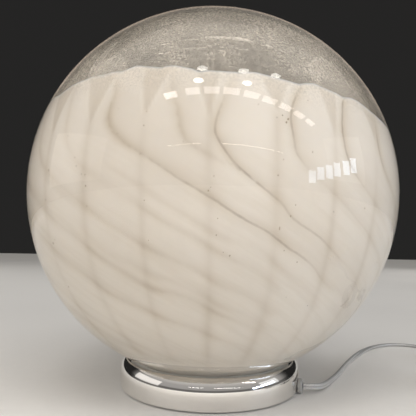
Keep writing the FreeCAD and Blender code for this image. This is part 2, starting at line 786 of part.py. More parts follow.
# ---------------------------------------------------------------- cords
def rounded_route(points, name, tight=0.45):
    """Straight runs joined by tangent arcs, each as large as its runs allow."""
    pts = [V3(*p) for p in points]
    edges, length, radii = [], 0.0, []
    start = pts[0]
    for i in range(1, len(pts) - 1):
        before, after = pts[i - 1] - pts[i], pts[i + 1] - pts[i]
        run = min(before.Length, after.Length)
        turn = math.pi - before.getAngle(after)
        back = tight * run
        radius = back / math.tan(turn / 2)
        radii.append(round(radius, 1))
        u, w = V3(before).normalize(), V3(after).normalize()
        p, q = pts[i] + u * back, pts[i] + w * back
        bisector = (u + w).normalize()
        centre = pts[i] + bisector * (radius / math.cos(turn / 2))
        middle = centre - bisector * radius
        if (p - start).Length > 1e-6:
            edges.append(Part.LineSegment(start, p).toShape())
            length += (p - start).Length
        edges.append(Part.Arc(p, middle, q).toShape())
        length += radius * turn
        start = q
    edges.append(Part.LineSegment(start, pts[-1]).toShape())
    length += (pts[-1] - start).Length
    runs = [round((b - a).Length, 1) for a, b in zip(pts, pts[1:])]
    print(name, "length %.1f" % length, "runs", runs, "radii", radii)
    return Part.Wire(edges), length, pts


def tube(name, label, points, radius, tight=0.45):
    wire, length, pts = rounded_route(points, label, tight)
    first = (pts[1] - pts[0]).normalize()
    ring_edge = Part.Wire([Part.Circle(pts[0], first, radius).toShape()])
    shape = wire.makePipeShell([ring_edge], True, False)
    if shape.Volume < 0:
        shape.reverse()
    ratio = shape.Volume / (math.pi * radius * radius * length)
    print(label, "volume over section times length %.4f" % ratio, "valid", shape.isValid())
    if abs(ratio - 1) > 0.01:
        raise RuntimeError(label + " is not as long as its route")
    obj = doc.addObject("Part::Feature", name)
    obj.Shape = shape
    obj.Placement = FreeCAD.Placement()
    node(obj, label)
    return length


CW = sheet.cord_width / 2
ca, sa = math.cos(math.radians(sheet.exit_angle)), math.sin(math.radians(sheet.exit_angle))
EX, EH = sheet.exit_radius, sheet.exit_height

# inside the base: in from the grommet, under the bridge, up the threaded tube
tube(
    "inner_cord_tube", "inner_cord",
    [
        (EX * ca, EX * sa, EH), (66 * ca, 66 * sa, EH + 0.4), (46 * ca, 46 * sa, EH + 0.3),
        (30 * ca, 30 * sa, EH + 0.5), (16.5 * ca, 16.5 * sa, EH + 1.6),
        (6.0 * ca, 6.0 * sa, EH + 6.0), (0.4 * ca, 0.4 * sa, EH + 14.2), (0.0, 0.0, 32.0),
        (0.0, 0.05, 45.5),
    ],
    CW,
)
cores = []
for side, label in ((-1, "holder_core_blue"), (1, "holder_core_brown")):
    tube(
        label + "_tube", label,
        [(1.25 * side, 0, 45.75), (1.4 * side, 0, 46.6), (4.0 * side, 0, 47.1), (9.0 * side, 0, 47.2), (9.02 * side, 0, 52.0)],
        1.0, 0.42,
    )

# along the surface, as the photograph shows it, to the inline switch
SX, SY, ST = sheet.switch_x, sheet.switch_y, math.radians(sheet.switch_turn)
sc, ss = math.cos(ST), math.sin(ST)
HALF = sheet.switch_length / 2
AX = 7.0
LAMP_RUN = [
    (EX * ca, EX * sa, EH), (93.0, -31.6, 6.2), (101.3, -27.2, 5.3), (109.5, -16.0, 4.0),
    (119.0, 0.5, 2.9), (133.0, 24.0, 2.8), (146.5, 51.0, 2.8), (163.0, 81.0, 2.8),
    (180.0, 109.0, 2.8), (198.5, 137.5, 2.8), (221.0, 163.0, 2.8), (248.0, 179.0, 2.8),
    (274.0, 174.5, 2.8), (291.0, 158.0, 2.8), (294.5, 137.0, 3.6),
    (SX - sc * HALF, SY - ss * HALF, AX),
]
lamp_length = tube("lamp_run_tube", "cord_lamp_run", LAMP_RUN, CW)

# from the switch to the coil
CX, CY = sheet.coil_x, sheet.coil_y
SWITCH_RUN = [
    (SX + sc * HALF, SY + ss * HALF, AX), (287.0, 37.5, 4.2), (287.8, 19.5, 3.7), (288.5, 2.0, 3.7),
]
switch_length = tube("switch_run_tube", "cord_switch_run", SWITCH_RUN, CW)

# from the coil to the plug
PX, PY, PTN = sheet.plug_x, sheet.plug_y, math.radians(sheet.plug_turn)
TAIL = [
    (288.5, -28.0, 9.4), (289.0, -43.0, 7.8), (290.5, -60.0, 3.6), (293.0, -76.0, 2.8),
    (PX - 0.5, PY + 12.0, 5.0), (PX, PY, 6.85),
]
tail_length = tube("tail_tube", "cord_tail", TAIL, CW)
print("cord outside the coil %.1f" % (lamp_length + switch_length + tail_length))

coil = turned(
    "coil_body",
    [
        (D["coil_inner"] + 2.8, D["coil_low"]), (D["coil_outer"] - 2.8, D["coil_low"], 2.8, 1),
        (D["coil_outer"], D["coil_low"] + 2.8), (D["coil_outer"], D["coil_high"] - 2.8, 2.8, 1),
        (D["coil_outer"] - 2.8, D["coil_high"]), (D["coil_inner"] + 2.8, D["coil_high"], 2.8, 1),
        (D["coil_inner"], D["coil_high"] - 2.8), (D["coil_inner"], D["coil_low"] + 2.8, 2.8, 1),
    ],
    "cord_coil",
)
place(coil, D["coil_x"], D["coil_y"], 0)

TT = D["tie_thick"]
tie_in_x, tie_out_x = D["coil_inner"] - 0.35, D["coil_outer"] + 0.35
tie_low, tie_high = D["coil_low"] - 0.05, D["coil_high"] + 0.05
tie, tie_pad = padded(
    "tie_band", "XZ_Plane",
    [
        (tie_in_x - TT, tie_low - TT), (tie_out_x + TT, tie_low - TT),
        (tie_out_x + TT, tie_high + TT), (tie_in_x - TT, tie_high + TT),
    ],
    D["tie_width"], midplane=True,
)
tie_sk = outline(
    tie, "tie_hole_outline", "XZ_Plane",
    [(tie_in_x, tie_low), (tie_out_x, tie_low), (tie_out_x, tie_high), (tie_in_x, tie_high)],
)
tie_hole = tie.newObject("PartDesign::Pocket", "tie_hole")
tie_hole.Profile = tie_sk
tie_hole.Type = "ThroughAll"
tie_hole.Midplane = True
place(tie, D["coil_x"], D["coil_y"], 0, 200.0)
node(tie, "coil_tie")

# ---------------------------------------------------------------- inline switch
ST_D = D["switch_turn"]
SW_AT = (D["switch_x"], D["switch_y"], 0.0)


def on_switch(obj, label=None):
    place(obj, SW_AT[0], SW_AT[1], SW_AT[2], ST_D)
    if label:
        node(obj, label)
    return obj


def rounded_block(name, length, width, low, high, corner):
    """A block with rounded upright corners, from height low to height high."""
    body = new_body(name)
    hx, hy, c = size(length) / 2, size(width) / 2, size(corner)
    sk = outline(
        body, name + "_outline", "XY_Plane",
        [
            (-hx + c, -hy), (hx - c, -hy, c, 1), (hx, -hy + c), (hx, hy - c, c, 1),
            (hx - c, hy), (-hx + c, hy, c, 1), (-hx, hy - c), (-hx, -hy + c, c, 1),
        ],
    )
    body_pad = body.newObject("PartDesign::Pad", name + "_pad")
    body_pad.Profile = sk
    bind(body_pad, "Length", size(high) - size(low))
    if "Sizes." in size(low).text or size(low).value:
        sk.AttachmentOffset = FreeCAD.Placement(V3(0, 0, size(low).value), FreeCAD.Rotation())
        if "Sizes." in size(low).text:
            sk.setExpression("AttachmentOffset.Base.z", size(low).text)
    return body, body_pad


SPLIT, SHIGH = D["switch_split"], D["switch_high"]
SLEN, SWID = D["switch_length"], D["switch_width"]
SCREW_AT = ((-25.5, 8.0), (25.5, -8.0))

lower, lower_pad = rounded_block("lower_blank", SLEN, SWID, 0.0, SPLIT, 6.0)
lower_tools = [
    block("lower_cavity", 40.0, 22.0, 8.0, -20.0, -11.0, 2.0),
    cylinder("lower_channel", CW + 0.1, 70.0, -35.0, 0.0, SPLIT, "x"),
]
for i, (x, y) in enumerate(SCREW_AT):
    lower_tools.append(cylinder("lower_screw_hole%d" % i, 1.6, 12.0, x, y, -1.0))
    lower_tools.append(cylinder("lower_screw_sink%d" % i, 2.9, 3.0, x, y, -1.0))
on_switch(cut("lower_cut", lower, *lower_tools), "switch_lower_shell")

upper, upper_pad = rounded_block("upper_blank", SLEN, SWID, SPLIT + 0.05, SHIGH, 6.0)
doc.recompute()
top_edges = []
for k, edge in enumerate(upper_pad.Shape.Edges):
    box = edge.BoundBox
    if box.ZMin > sheet.switch_high - 0.01:
        top_edges.append("Edge%d" % (k + 1))
soft = upper.newObject("PartDesign::Fillet", "upper_soft")
soft.Base = (upper_pad, top_edges)
soft.Radius = 2.5
doc.recompute()
upper_tools = [
    block("upper_cavity", 40.0, 22.0, SHIGH - 2.0 - SPLIT + 1.0, -20.0, -11.0, SPLIT - 1.0),
    block("upper_window", 25.0, 13.0, 10.0, -12.5, -6.5, SPLIT + 1.0),
    cylinder("upper_channel", CW + 0.1, 70.0, -35.0, 0.0, SPLIT, "x"),
]
for i, (x, y) in enumerate(SCREW_AT):
    upper_tools.append(cylinder("upper_screw_hole%d" % i, 1.35, SHIGH - 3.0, x, y, 0.0))
upper_hollow = cut("upper_hollow", upper, *upper_tools)
lugs = [
    block("upper_lug%d" % i, 6.0, 3.0, SHIGH - 9.5, -3.0, 8.1 * side - 1.5, 8.5)
    for i, side in enumerate((-1, 1))
]
pin_hole = cylinder("upper_pin_hole", D["pin_radius"] + 0.02, 24.0, 0.0, -12.0, D["rocker_height"], "y")
on_switch(cut("upper_cut", fuse("upper_lugged", upper_hollow, *lugs), pin_hole), "switch_upper_shell")

# rocker, tilted to its off side
RH = D["rocker_height"]
rocker, rocker_pad = padded(
    "rocker_blank", "XZ_Plane",
    [
        (-11.2, 5.6), (-11.2, -0.4), (-3.2, -2.4), (3.2, -2.4), (11.2, -0.4), (11.2, 5.6),
        (0.0, 4.2, 60.0, -1),
    ],
    12.4, midplane=True,
)
place(rocker, 0, 0, RH, D["rocker_tilt"], V3(0, 1, 0))
rocker_hole = cylinder("rocker_hole", D["pin_radius"] + 0.05, 20.0, 0.0, -10.0, RH, "y")
on_switch(cut("rocker_cut", rocker, rocker_hole), "switch_rocker")
pin_rod = cylinder("rocker_pin_rod", D["pin_radius"], 18.6, 0.0, -9.3, RH, "y")
on_switch(group("pin_group", pin_rod), "switch_rocker_pin")
plunger_rod = cylinder("plunger_rod", 1.2, 2.0, 0.0, 0.0, -4.5)
plunger_tip = doc.addObject("Part::Sphere", "plunger_tip")
bind(plunger_tip, "Radius", 1.2)
place(plunger_tip, 0, 0, -4.5)
plunger = fuse("plunger_fuse", plunger_rod, plunger_tip)
place(plunger, 0, 0, RH, D["rocker_tilt"], V3(0, 1, 0))
on_switch(group("plunger_group", plunger), "switch_plunger")

# seesaw contact on its post, tipped the other way
seesaw, seesaw_pad = padded(
    "seesaw_blank", "XZ_Plane",
    [
        (-9.0, 1.5), (-9.0, 1.0), (0.0, -0.3), (9.0, 1.0), (9.0, 1.5), (0.0, 0.2),
    ],
    3.4, midplane=True,
)
place(seesaw, 0, 0, 4.1, -7.0, V3(0, 1, 0))
seesaw_boss = cylinder("seesaw_boss", 0.6, 3.4, 0.0, -1.7, 4.1, "y")
on_switch(group("seesaw_group", fuse("seesaw_fuse", seesaw, seesaw_boss)), "switch_seesaw_contact")
post, post_pad = padded(
    "post_blank", "XZ_Plane", [(-1.6, 2.02), (1.6, 2.02), (0.35, 3.45), (-0.35, 3.45)], 4.0, midplane=True
)
on_switch(group("post_group", post), "switch_contact_post")

sw_terminals, sw_terminal_screws = [], []
for i, side in enumerate((-1, 1)):
    lump = block("sw_terminal_block%d" % i, 5.0, 6.0, 5.0, 13.5 * side - 2.5, -9.0, 2.02)
    entry = cylinder("sw_terminal_entry%d" % i, 1.15, 8.0, 13.5 * side - 4.0, -6.0, 4.3, "x")
    sw_terminals.append(cut("sw_terminal%d" % i, lump, entry))
    shank = cylinder("sw_terminal_shank%d" % i, 1.1, 1.3, 13.5 * side, -6.0, 6.0)
    head = cylinder("sw_terminal_head%d" % i, 1.8, 1.2, 13.5 * side, -6.0, 7.1)
    slit = block("sw_terminal_slit%d" % i, 4.0, 0.6, 0.8, 13.5 * side - 2.0, -6.3, 7.8)
    sw_terminal_screws.append(cut("sw_terminal_screw%d" % i, fuse("sw_screw_blank%d" % i, shank, head), slit))
for i, side in enumerate((-1, 1)):
    tap = cylinder("sw_terminal_tap%d" % i, 1.15, 4.0, 13.5 * side, -6.0, 5.4)
    sw_terminals[i] = cut("sw_terminal_tapped%d" % i, sw_terminals[i], tap)
on_switch(group("sw_terminal_pair", *sw_terminals), "switch_terminals")
on_switch(group("sw_terminal_screw_pair", *sw_terminal_screws), "switch_terminal_screws")
on_switch(
    group(
        "sw_screws",
        *[
            pan_screw("sw_screw%d" % i, 1.3, 9.2, 2.6, 1.5, x, y, 2.0, up=False)
            for i, (x, y) in enumerate(SCREW_AT)
        ]
    ),
    "switch_screws",
)
stubs = [
    cylinder("cord_stub%d" % i, CW, 10.8, x, 0.0, SPLIT, "x")
    for i, x in enumerate((-31.0, 20.2))
]
on_switch(group("cord_stub_pair", *stubs), "switch_cord_ends")


def bent_wire(name, points, radius):
    wire, length, pts = rounded_route(points, name, 0.42)
    first = (pts[1] - pts[0]).normalize()
    shape = wire.makePipeShell([Part.Wire([Part.Circle(pts[0], first, radius).toShape()])], True, False)
    obj = doc.addObject("Part::Feature", name)
    obj.Shape = shape
    obj.Placement = FreeCAD.Placement()
    return obj


neutral = bent_wire(
    "neutral_core_tube",
    [(-19.4, 1.3, 7.0), (-17.6, 2.4, 6.4), (-13.5, 8.4, 4.2), (0.0, 8.9, 3.4), (13.5, 8.4, 4.2), (17.6, 2.4, 6.4), (19.4, 1.3, 7.0)],
    1.0,
)
on_switch(group("neutral_group", neutral), "switch_neutral_core")
lines = [
    bent_wire(
        "line_core_tube%d" % i,
        [(-19.4 * s, -1.3, 7.0), (-18.6 * s, -2.0, 6.6), (-17.8 * s, -4.5, 5.0), (-16.7 * s, -5.9, 4.38), (-14.4 * s, -6.0, 4.3)],
        0.95,
    )
    for i, s in enumerate((1, -1))
]
on_switch(group("line_group", *lines), "switch_line_core")

# ---------------------------------------------------------------- plug
PL_AT = (D["plug_x"], D["plug_y"], 0.0)


def on_plug(obj, label):
    place(obj, PL_AT[0], PL_AT[1], PL_AT[2], D["plug_turn"])
    return node(obj, label)


PR, PLN, PTK = D["plug_relief"], D["plug_length"], D["plug_thick"]
plug = new_body("plug_blank")
plug_sk = outline(
    plug, "plug_outline", "XY_Plane",
    [
        (PR, -5.0), (PR + 9, -7.4), (PR + 22, -15.2), (PR + 28, -17.4, 6.0, 1), (PR + 33, -17.65),
        (PR + PLN, -17.65), (PR + PLN, 17.65), (PR + 33, 17.65, 6.0, 1), (PR + 28, 17.4),
        (PR + 22, 15.2), (PR + 9, 7.4), (PR, 5.0),
    ],
)
plug_pad = plug.newObject("PartDesign::Pad", "plug_pad")
plug_pad.Profile = plug_sk
bind(plug_pad, "Length", PTK)
doc.recompute()
flat_edges = []
for k, edge in enumerate(plug_pad.Shape.Edges):
    box = edge.BoundBox
    flat = box.ZMax - box.ZMin < 0.01
    end_face = box.XMin > sheet.plug_relief + sheet.plug_length - 0.01
    start_face = box.XMax < sheet.plug_relief + 0.01
    if flat and not end_face and not start_face:
        flat_edges.append("Edge%d" % (k + 1))
plug_soft = plug.newObject("PartDesign::Chamfer", "plug_soft")
plug_soft.Base = (plug_pad, flat_edges)
plug_soft.Size = 2.6
doc.recompute()
relief = cone("plug_relief_cone", 3.5, 5.2, PR + 2, 0.0, 0.0, PTK / 2, "x")
PS = D["prong_spacing"] / 2
prong_bores = [
    cylinder("prong_bore%d" % i, 1.5, 7.0, PR + PLN - 6, PS * side, PTK / 2, "x")
    for i, side in enumerate((-1, 1))
]
on_plug(cut("plug_cut", fuse("plug_fuse", plug, relief), *prong_bores), "plug_body")
prongs, prong_sleeves = [], []
for i, side in enumerate((-1, 1)):
    core = cylinder("prong_core%d" % i, 1.49, D["prong_length"] + 5, PR + PLN - 5, PS * side, PTK / 2, "x")
    tip = cylinder("prong_tip%d" % i, D["prong_radius"], 8.0, PR + PLN + 10, PS * side, PTK / 2, "x")
    nose = cone("prong_nose%d" % i, D["prong_radius"], 1.2, 1.0, PR + PLN + 18, PS * side, PTK / 2, "x")
    prongs.append(fuse("prong%d" % i, core, tip, nose))
    tube_out = cylinder("prong_sleeve_out%d" % i, 1.8, 9.95, PR + PLN + 0.02, PS * side, PTK / 2, "x")
    tube_in = cylinder("prong_sleeve_in%d" % i, 1.5, 12.0, PR + PLN - 1, PS * side, PTK / 2, "x")
    prong_sleeves.append(cut("prong_sleeve%d" % i, tube_out, tube_in))
on_plug(group("prong_pair", *prongs), "plug_pins")
on_plug(group("prong_sleeve_pair", *prong_sleeves), "plug_pin_sleeves")

# ---------------------------------------------------------------- check and write
doc.recompute()
bad = []
for obj in doc.Objects:
    if "Invalid" in obj.State or "Error" in obj.State:
        bad.append("%s (%s) %s" % (obj.Label, obj.Name, obj.State))
for obj in NODES:
    shape = obj.Shape
    if shape.isNull() or not shape.isValid() or not shape.Solids:
        bad.append("%s has no valid solid" % obj.Label)
if bad:
    raise RuntimeError("; ".join(bad))
for obj in NODES:
    shape = obj.Shape
    shape.exportStep(os.path.join("parts", obj.Label + ".step"))
    box = shape.BoundBox
    print(
        "%-24s solids %d volume %9.1f  x %.1f..%.1f y %.1f..%.1f z %.2f..%.2f"
        % (obj.Label, len(shape.Solids), shape.Volume, box.XMin, box.XMax, box.YMin, box.YMax, box.ZMin, box.ZMax)
    )
print(len(NODES), "nodes")
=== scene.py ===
import math

import bpy
import numpy as np
from mathutils import Matrix, Vector


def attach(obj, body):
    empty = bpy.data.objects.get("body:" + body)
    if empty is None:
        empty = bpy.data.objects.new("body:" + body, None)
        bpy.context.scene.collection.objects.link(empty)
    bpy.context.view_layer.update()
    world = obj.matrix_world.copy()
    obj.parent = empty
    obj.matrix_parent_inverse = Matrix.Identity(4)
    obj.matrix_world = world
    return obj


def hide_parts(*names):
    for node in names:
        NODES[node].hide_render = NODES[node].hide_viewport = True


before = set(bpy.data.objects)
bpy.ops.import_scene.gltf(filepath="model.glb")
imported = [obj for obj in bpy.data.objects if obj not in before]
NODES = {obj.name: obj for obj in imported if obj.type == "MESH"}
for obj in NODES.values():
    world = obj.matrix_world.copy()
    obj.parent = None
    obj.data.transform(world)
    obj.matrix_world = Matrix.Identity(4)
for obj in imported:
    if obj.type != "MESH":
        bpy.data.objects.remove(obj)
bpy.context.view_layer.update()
SCENE = bpy.context.scene
MM = 0.001


# ------------------------------------------------------------------ camera
RIGHT = Vector((0.99984263, 0.00790766, 0.01588026))
UP = Vector((-0.01510919, -0.08951692, 0.99587069))
AHEAD = Vector((-0.00929656, 0.99595391, 0.08938336))
EYE = Vector((0.0, -0.44532, 0.13084))
lens = bpy.data.cameras.new("photo_camera")
lens.sensor_width = 36.0
lens.lens = 38.08
lens.clip_start = 0.01
camera = bpy.data.objects.new("photo_camera", lens)
SCENE.collection.objects.link(camera)
camera.matrix_world = Matrix(
    (
        (RIGHT.x, UP.x, -AHEAD.x, EYE.x),
        (RIGHT.y, UP.y, -AHEAD.y, EYE.y),
        (RIGHT.z, UP.z, -AHEAD.z, EYE.z),
        (0, 0, 0, 1),
    )
)
SCENE.camera = camera


# ------------------------------------------------------------------ mesh helpers
def mesh_piece(name, verts, faces, smooth=True):
    me = bpy.data.meshes.new(name)
    me.from_pydata([tuple(v) for v in verts], [], [tuple(f) for f in faces])
    me.validate()
    if smooth:
        me.polygons.foreach_set("use_smooth", [True] * len(me.polygons))
    me.update()
    obj = bpy.data.objects.new(name, me)
    SCENE.collection.objects.link(obj)
    return obj


def grid_mesh(name, grid, closed_rows=False, smooth=True):
    """A mesh from rows of points, each row closed on itself; closed_rows joins the
    last row to the first."""
    rows, cols = grid.shape[:2]
    index = np.arange(rows * cols).reshape(rows, cols)
    nxt = np.roll(index, -1, axis=1)
    if closed_rows:
        down, down_nxt = np.roll(index, -1, axis=0), np.roll(nxt, -1, axis=0)
        quads = np.stack([index, nxt, down_nxt, down], -1).reshape(-1, 4)
    else:
        quads = np.stack([index[:-1], nxt[:-1], nxt[1:], index[1:]], -1).reshape(-1, 4)
    me = bpy.data.meshes.new(name)
    me.vertices.add(rows * cols)
    me.vertices.foreach_set("co", grid.reshape(-1).astype(np.float32))
    me.loops.add(len(quads) * 4)
    me.loops.foreach_set("vertex_index", quads.reshape(-1).astype(np.int32))
    me.polygons.add(len(quads))
    me.polygons.foreach_set("loop_start", np.arange(0, len(quads) * 4, 4, dtype=np.int32))
    me.polygons.foreach_set("loop_total", np.full(len(quads), 4, dtype=np.int32))
    me.update(calc_edges=True)
    me.validate()
    me.polygons.foreach_set("use_smooth", [smooth] * len(me.polygons))
    obj = bpy.data.objects.new(name, me)
    SCENE.collection.objects.link(obj)
    return obj


def add_attribute(obj, name, values):
    at = obj.data.attributes.new(name, "FLOAT", "POINT")
    at.data.foreach_set("value", np.asarray(values, np.float32).reshape(-1))


def route_line(name, points, fine=10):
    """Points read from the route's own smooth curve."""
    cu = bpy.data.curves.new(name, "CURVE")
    cu.dimensions = "3D"
    cu.resolution_u = fine
    sp = cu.splines.new("NURBS")
    sp.points.add(len(points) - 1)
    for at, p in zip(sp.points, points):
        at.co = (p[0] * MM, p[1] * MM, p[2] * MM, 1.0)
    sp.order_u = 3
    sp.use_endpoint_u = True
    ob = bpy.data.objects.new(name, cu)
    SCENE.collection.objects.link(ob)
    bpy.context.view_layer.update()
    graph = bpy.context.evaluated_depsgraph_get()
    me = bpy.data.meshes.new_from_object(ob.evaluated_get(graph))
    line = np.array([v.co for v in me.vertices], float)
    bpy.data.meshes.remove(me)
    bpy.data.objects.remove(ob)
    bpy.data.curves.remove(cu)
    return line


def twin_section():
    """Outline of a flat two-core cord, across and through, in metres."""
    out = []
    r, c = 1.62, 1.18
    for k in range(-6, 7):
        a = math.radians(k * 19.5)
        out.append((c + r * math.cos(a), r * math.sin(a), math.atan2(math.sin(a), math.cos(a))))
    out.append((0.0, 1.2, math.pi))
    for k in range(-6, 7):
        a = math.radians(180 + k * 19.5)
        out.append((-c + r * math.cos(a), r * math.sin(a), math.atan2(math.sin(a), math.cos(a))))
    out.append((0.0, -1.2, -math.pi))
    return [(w * MM, t * MM, q) for w, t, q in out]


SECTION = twin_section()


def smooth01(x):
    x = np.clip(x, 0.0, 1.0)
    return x * x * (3 - 2 * x)


def twin_cord(name, line, twist):
    """A flat two-core cord along line; twist(s) is the angle of its width from
    level at s metres along."""
    tangent = np.gradient(line, axis=0)
    tangent /= np.linalg.norm(tangent, axis=1)[:, None]
    s = np.concatenate([[0], np.cumsum(np.linalg.norm(np.diff(line, axis=0), axis=1))])
    level = np.stack([-tangent[:, 1], tangent[:, 0], np.zeros(len(line))], 1)
    level /= np.linalg.norm(level, axis=1)[:, None]
    rise = np.cross(tangent, level)
    rings = []
    for p, h, n, at in zip(line, level, rise, s):
        a = twist(at)
        w, v = math.cos(a) * h + math.sin(a) * n, -math.sin(a) * h + math.cos(a) * n
        rings.append([p + w * x + v * y for x, y, q in SECTION])
    grid = np.array(rings)
    obj = grid_mesh(name, grid)
    me = obj.data
    count = len(SECTION)
    import bmesh

    bm = bmesh.new()
    bm.from_mesh(me)
    bm.verts.ensure_lookup_table()
    total = len(bm.verts)
    bm.faces.new([bm.verts[i] for i in range(count)])
    bm.faces.new([bm.verts[total - count + i] for i in reversed(range(count))])
    bmesh.ops.recalc_face_normals(bm, faces=bm.faces)
    bm.to_mesh(me)
    bm.free()
    add_attribute(obj, "along", np.repeat(s, count))
    add_attribute(obj, "around", np.tile([q for x, y, q in SECTION], len(line)))
    add_attribute(obj, "across", np.tile([x / (2.8 * MM) for x, y, q in SECTION], len(line)))
    return obj


# along the surface to the inline switch
LAMP_RUN = [
    (84.948, -30.918, 6.6), (93.0, -31.6, 6.2), (101.3, -27.2, 5.3), (109.5, -16.0, 4.0),
    (119.0, 0.5, 2.95), (133.0, 24.0, 2.85), (146.5, 51.0, 2.82), (163.0, 81.0, 2.6),
    (180.0, 109.0, 1.7), (198.5, 137.5, 1.7), (221.0, 163.0, 1.7), (248.0, 179.0, 1.7),
    (274.0, 174.5, 1.7), (291.0, 158.0, 1.9), (294.5, 137.0, 3.4), (292.702, 116.882, 7.0),
]
half_turn = math.pi / 2


def lamp_twist(s):
    return half_turn * (1 - float(smooth01((s - 0.125) / 0.12)))


def rest_heights(points, twist):
    """The points no lower than half the cord's height where it is turned by twist."""
    out, s, last = [], 0.0, None
    for p in points:
        if last is not None:
            s += math.dist(p, last) * MM
        last = p
        out.append((p[0], p[1], max(p[2], 1.62 + 1.18 * math.sin(twist(s)) + 0.12)))
    return out


LAMP_RUN = rest_heights(LAMP_RUN, lamp_twist)
lamp_line = route_line("lamp_run_route", LAMP_RUN, 14)
cord_a = twin_cord("cord_to_switch", lamp_line, lamp_twist)
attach(cord_a, "base")
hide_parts("cord_lamp_run")

# from the switch into the put-away coil, and out of it to the plug
CX, CY = 250.0, -14.0
TIE_AT = math.radians(200.0)


def coil_points():
    """Turns of the coil: inwards on the surface, then outwards on top of them."""
    out = []
    start = math.atan2(16.0, 38.5)
    turns_in, turns_out = 3.04, 3.0227
    steps = 15
    low, high = 2.86, 8.62
    n_in, n_out = int(turns_in * steps), int(turns_out * steps)
    for i in range(1, n_in + 1):
        f = i / n_in
        a = start - f * turns_in * 2 * math.pi
        r = 38.4 - 14.9 * f + 0.25 * math.sin(2.3 * a + 0.6)
        near_tie = math.cos(a - TIE_AT)
        z = low + 0.85 * max(0.0, near_tie) ** 12
        if f > 0.9:
            z += (high - low) * 0.5 * float(smooth01((f - 0.9) / 0.1))
        out.append((CX + r * math.cos(a), CY + r * math.sin(a), z))
    end_a = start - turns_in * 2 * math.pi
    for i in range(1, n_out + 1):
        f = i / n_out
        a = end_a - f * turns_out * 2 * math.pi
        r = 23.5 + 15.0 * f + 0.25 * math.sin(1.9 * a)
        near_tie = math.cos(a - TIE_AT)
        z = high + 0.55 * max(0.0, near_tie) ** 12
        if f < 0.08:
            z -= (high - low) * 0.5 * (1 - float(smooth01(f / 0.08)))
        out.append((CX + r * math.cos(a), CY + r * math.sin(a), z))
    return out


SWITCH_RUN = [
    (287.298, 55.118, 7.0), (287.0, 37.5, 4.2), (287.8, 19.5, 3.0), (288.4, 7.0, 2.86),
]
TAIL = [
    (288.6, -27.5, 8.5), (289.0, -43.0, 7.0), (290.2, -60.0, 3.7), (292.6, -76.0, 3.0), (296.6, -87.5, 5.0),
    (297.5, -99.0, 6.85),
]
coil = coil_points()
tail_line = route_line("coil_route", SWITCH_RUN + coil + TAIL, 6)
tail_long = float(np.linalg.norm(np.diff(tail_line, axis=0), axis=1).sum())


def tail_twist(s):
    if s < 0.2:
        return half_turn * float(smooth01((s - 0.004) / 0.04))
    left = tail_long - s
    return half_turn * float(smooth01((left - 0.004) / 0.035))


cord_b = twin_cord("cord_to_plug", tail_line, tail_twist)
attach(cord_b, "base")
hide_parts("cord_switch_run", "cord_coil", "cord_tail")


# the coil's tie: a band with rounded corners
def tie_band():
    ca, sa = math.cos(TIE_AT), math.sin(TIE_AT)
    inner, outer, low, high, c = 21.2, 41.0, 0.72, 12.35, 2.4
    path = []
    corners = [(outer - c, low + c, -90), (outer - c, high - c, 0), (inner + c, high - c, 90), (inner + c, low + c, 180)]
    for cx, cz, a0 in corners:
        for k in range(7):
            a = math.radians(a0 + 15 * k)
            path.append((cx + c * math.cos(a), cz + c * math.sin(a), math.cos(a), math.sin(a)))
    rows = []
    for x, z, nx, nz in path:
        ring = []
        for off, across in ((0.0, -2.8), (0.0, 2.8), (0.25, 3.0), (0.62, 2.7), (0.62, -2.7), (0.25, -3.0)):
            r, h = x + nx * off, z + nz * off
            ring.append((CX + r * ca - across * sa, CY + r * sa + across * ca, h))
        rows.append(ring)
    grid = np.array(rows) * MM
    return grid_mesh("coil_tie_strap", grid, closed_rows=True)


tie = tie_band()
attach(tie, "base")
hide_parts("coil_tie")

# ------------------------------------------------------------------ the globe's glass
CENTRE = np.array([0.0, 0.0, 184.4])


def on_sphere(lon, lat, r):
    """Points in millimetres; lon in degrees, 0 to the camera, + to the right."""
    lo, la = np.radians(lon), np.radians(lat)
    return np.stack(
        [r * np.cos(la) * np.sin(lo), -r * np.cos(la) * np.cos(lo), r * np.sin(la)], -1
    ) + CENTRE


def ring_noise(lon, seed, scale):
    """Smooth noise that closes on itself round the globe."""
    rng = np.random.default_rng(seed)
    out = np.zeros_like(lon)
    for k in range(1, scale + 1):
        out += rng.normal() / k ** 0.5 * np.sin(np.radians(lon) * k + rng.uniform(0, 6.28))
    return out / math.sqrt(scale)


# the white layer's upper edge: where the petals end
EDGE = [
    (-180.0, 18.6), (-172.0, 19.5), (-165.0, 18.9), (-157.0, 20.3), (-151.0, 19.6), (-143.0, 20.9),
    (-135.0, 20.2), (-128.0, 21.5), (-121.0, 20.9), (-112.0, 22.0), (-105.0, 21.3), (-98.0, 22.4),
    (-90.0, 21.6), (-82.0, 22.9), (-75.0, 22.2), (-67.0, 23.0), (-60.0, 22.2), (-55.0, 22.5),
    (-49.7, 22.0), (-42.5, 23.4), (-37.4, 23.5), (-34.2, 23.8), (-29.2, 23.4), (-27.2, 23.8),
    (-24.1, 23.3), (-20.1, 24.5), (-17.3, 23.8), (-12.9, 22.9), (-12.0, 23.4), (-9.6, 23.3),
    (-5.2, 22.1), (-3.6, 21.2), (-1.5, 21.7), (1.7, 21.4), (6.3, 21.3), (9.7, 21.7),
    (12.9, 21.1), (17.9, 20.2), (21.0, 19.6), (22.2, 20.1), (25.5, 20.7), (28.7, 20.0),
    (32.9, 19.2), (34.6, 18.6), (38.2, 19.3), (42.3, 18.7), (46.4, 17.5), (51.5, 16.5),
    (59.2, 15.8), (66.0, 14.6), (74.0, 15.6), (81.0, 14.7), (89.0, 15.8), (96.0, 15.0), (104.0, 16.1),
    (111.0, 15.4), (119.0, 16.6), (126.0, 16.0), (134.0, 17.2), (142.0, 16.7), (150.0, 18.0), (157.0, 17.5),
    (165.0, 18.8), (172.0, 18.2), (180.0, 18.6),
]


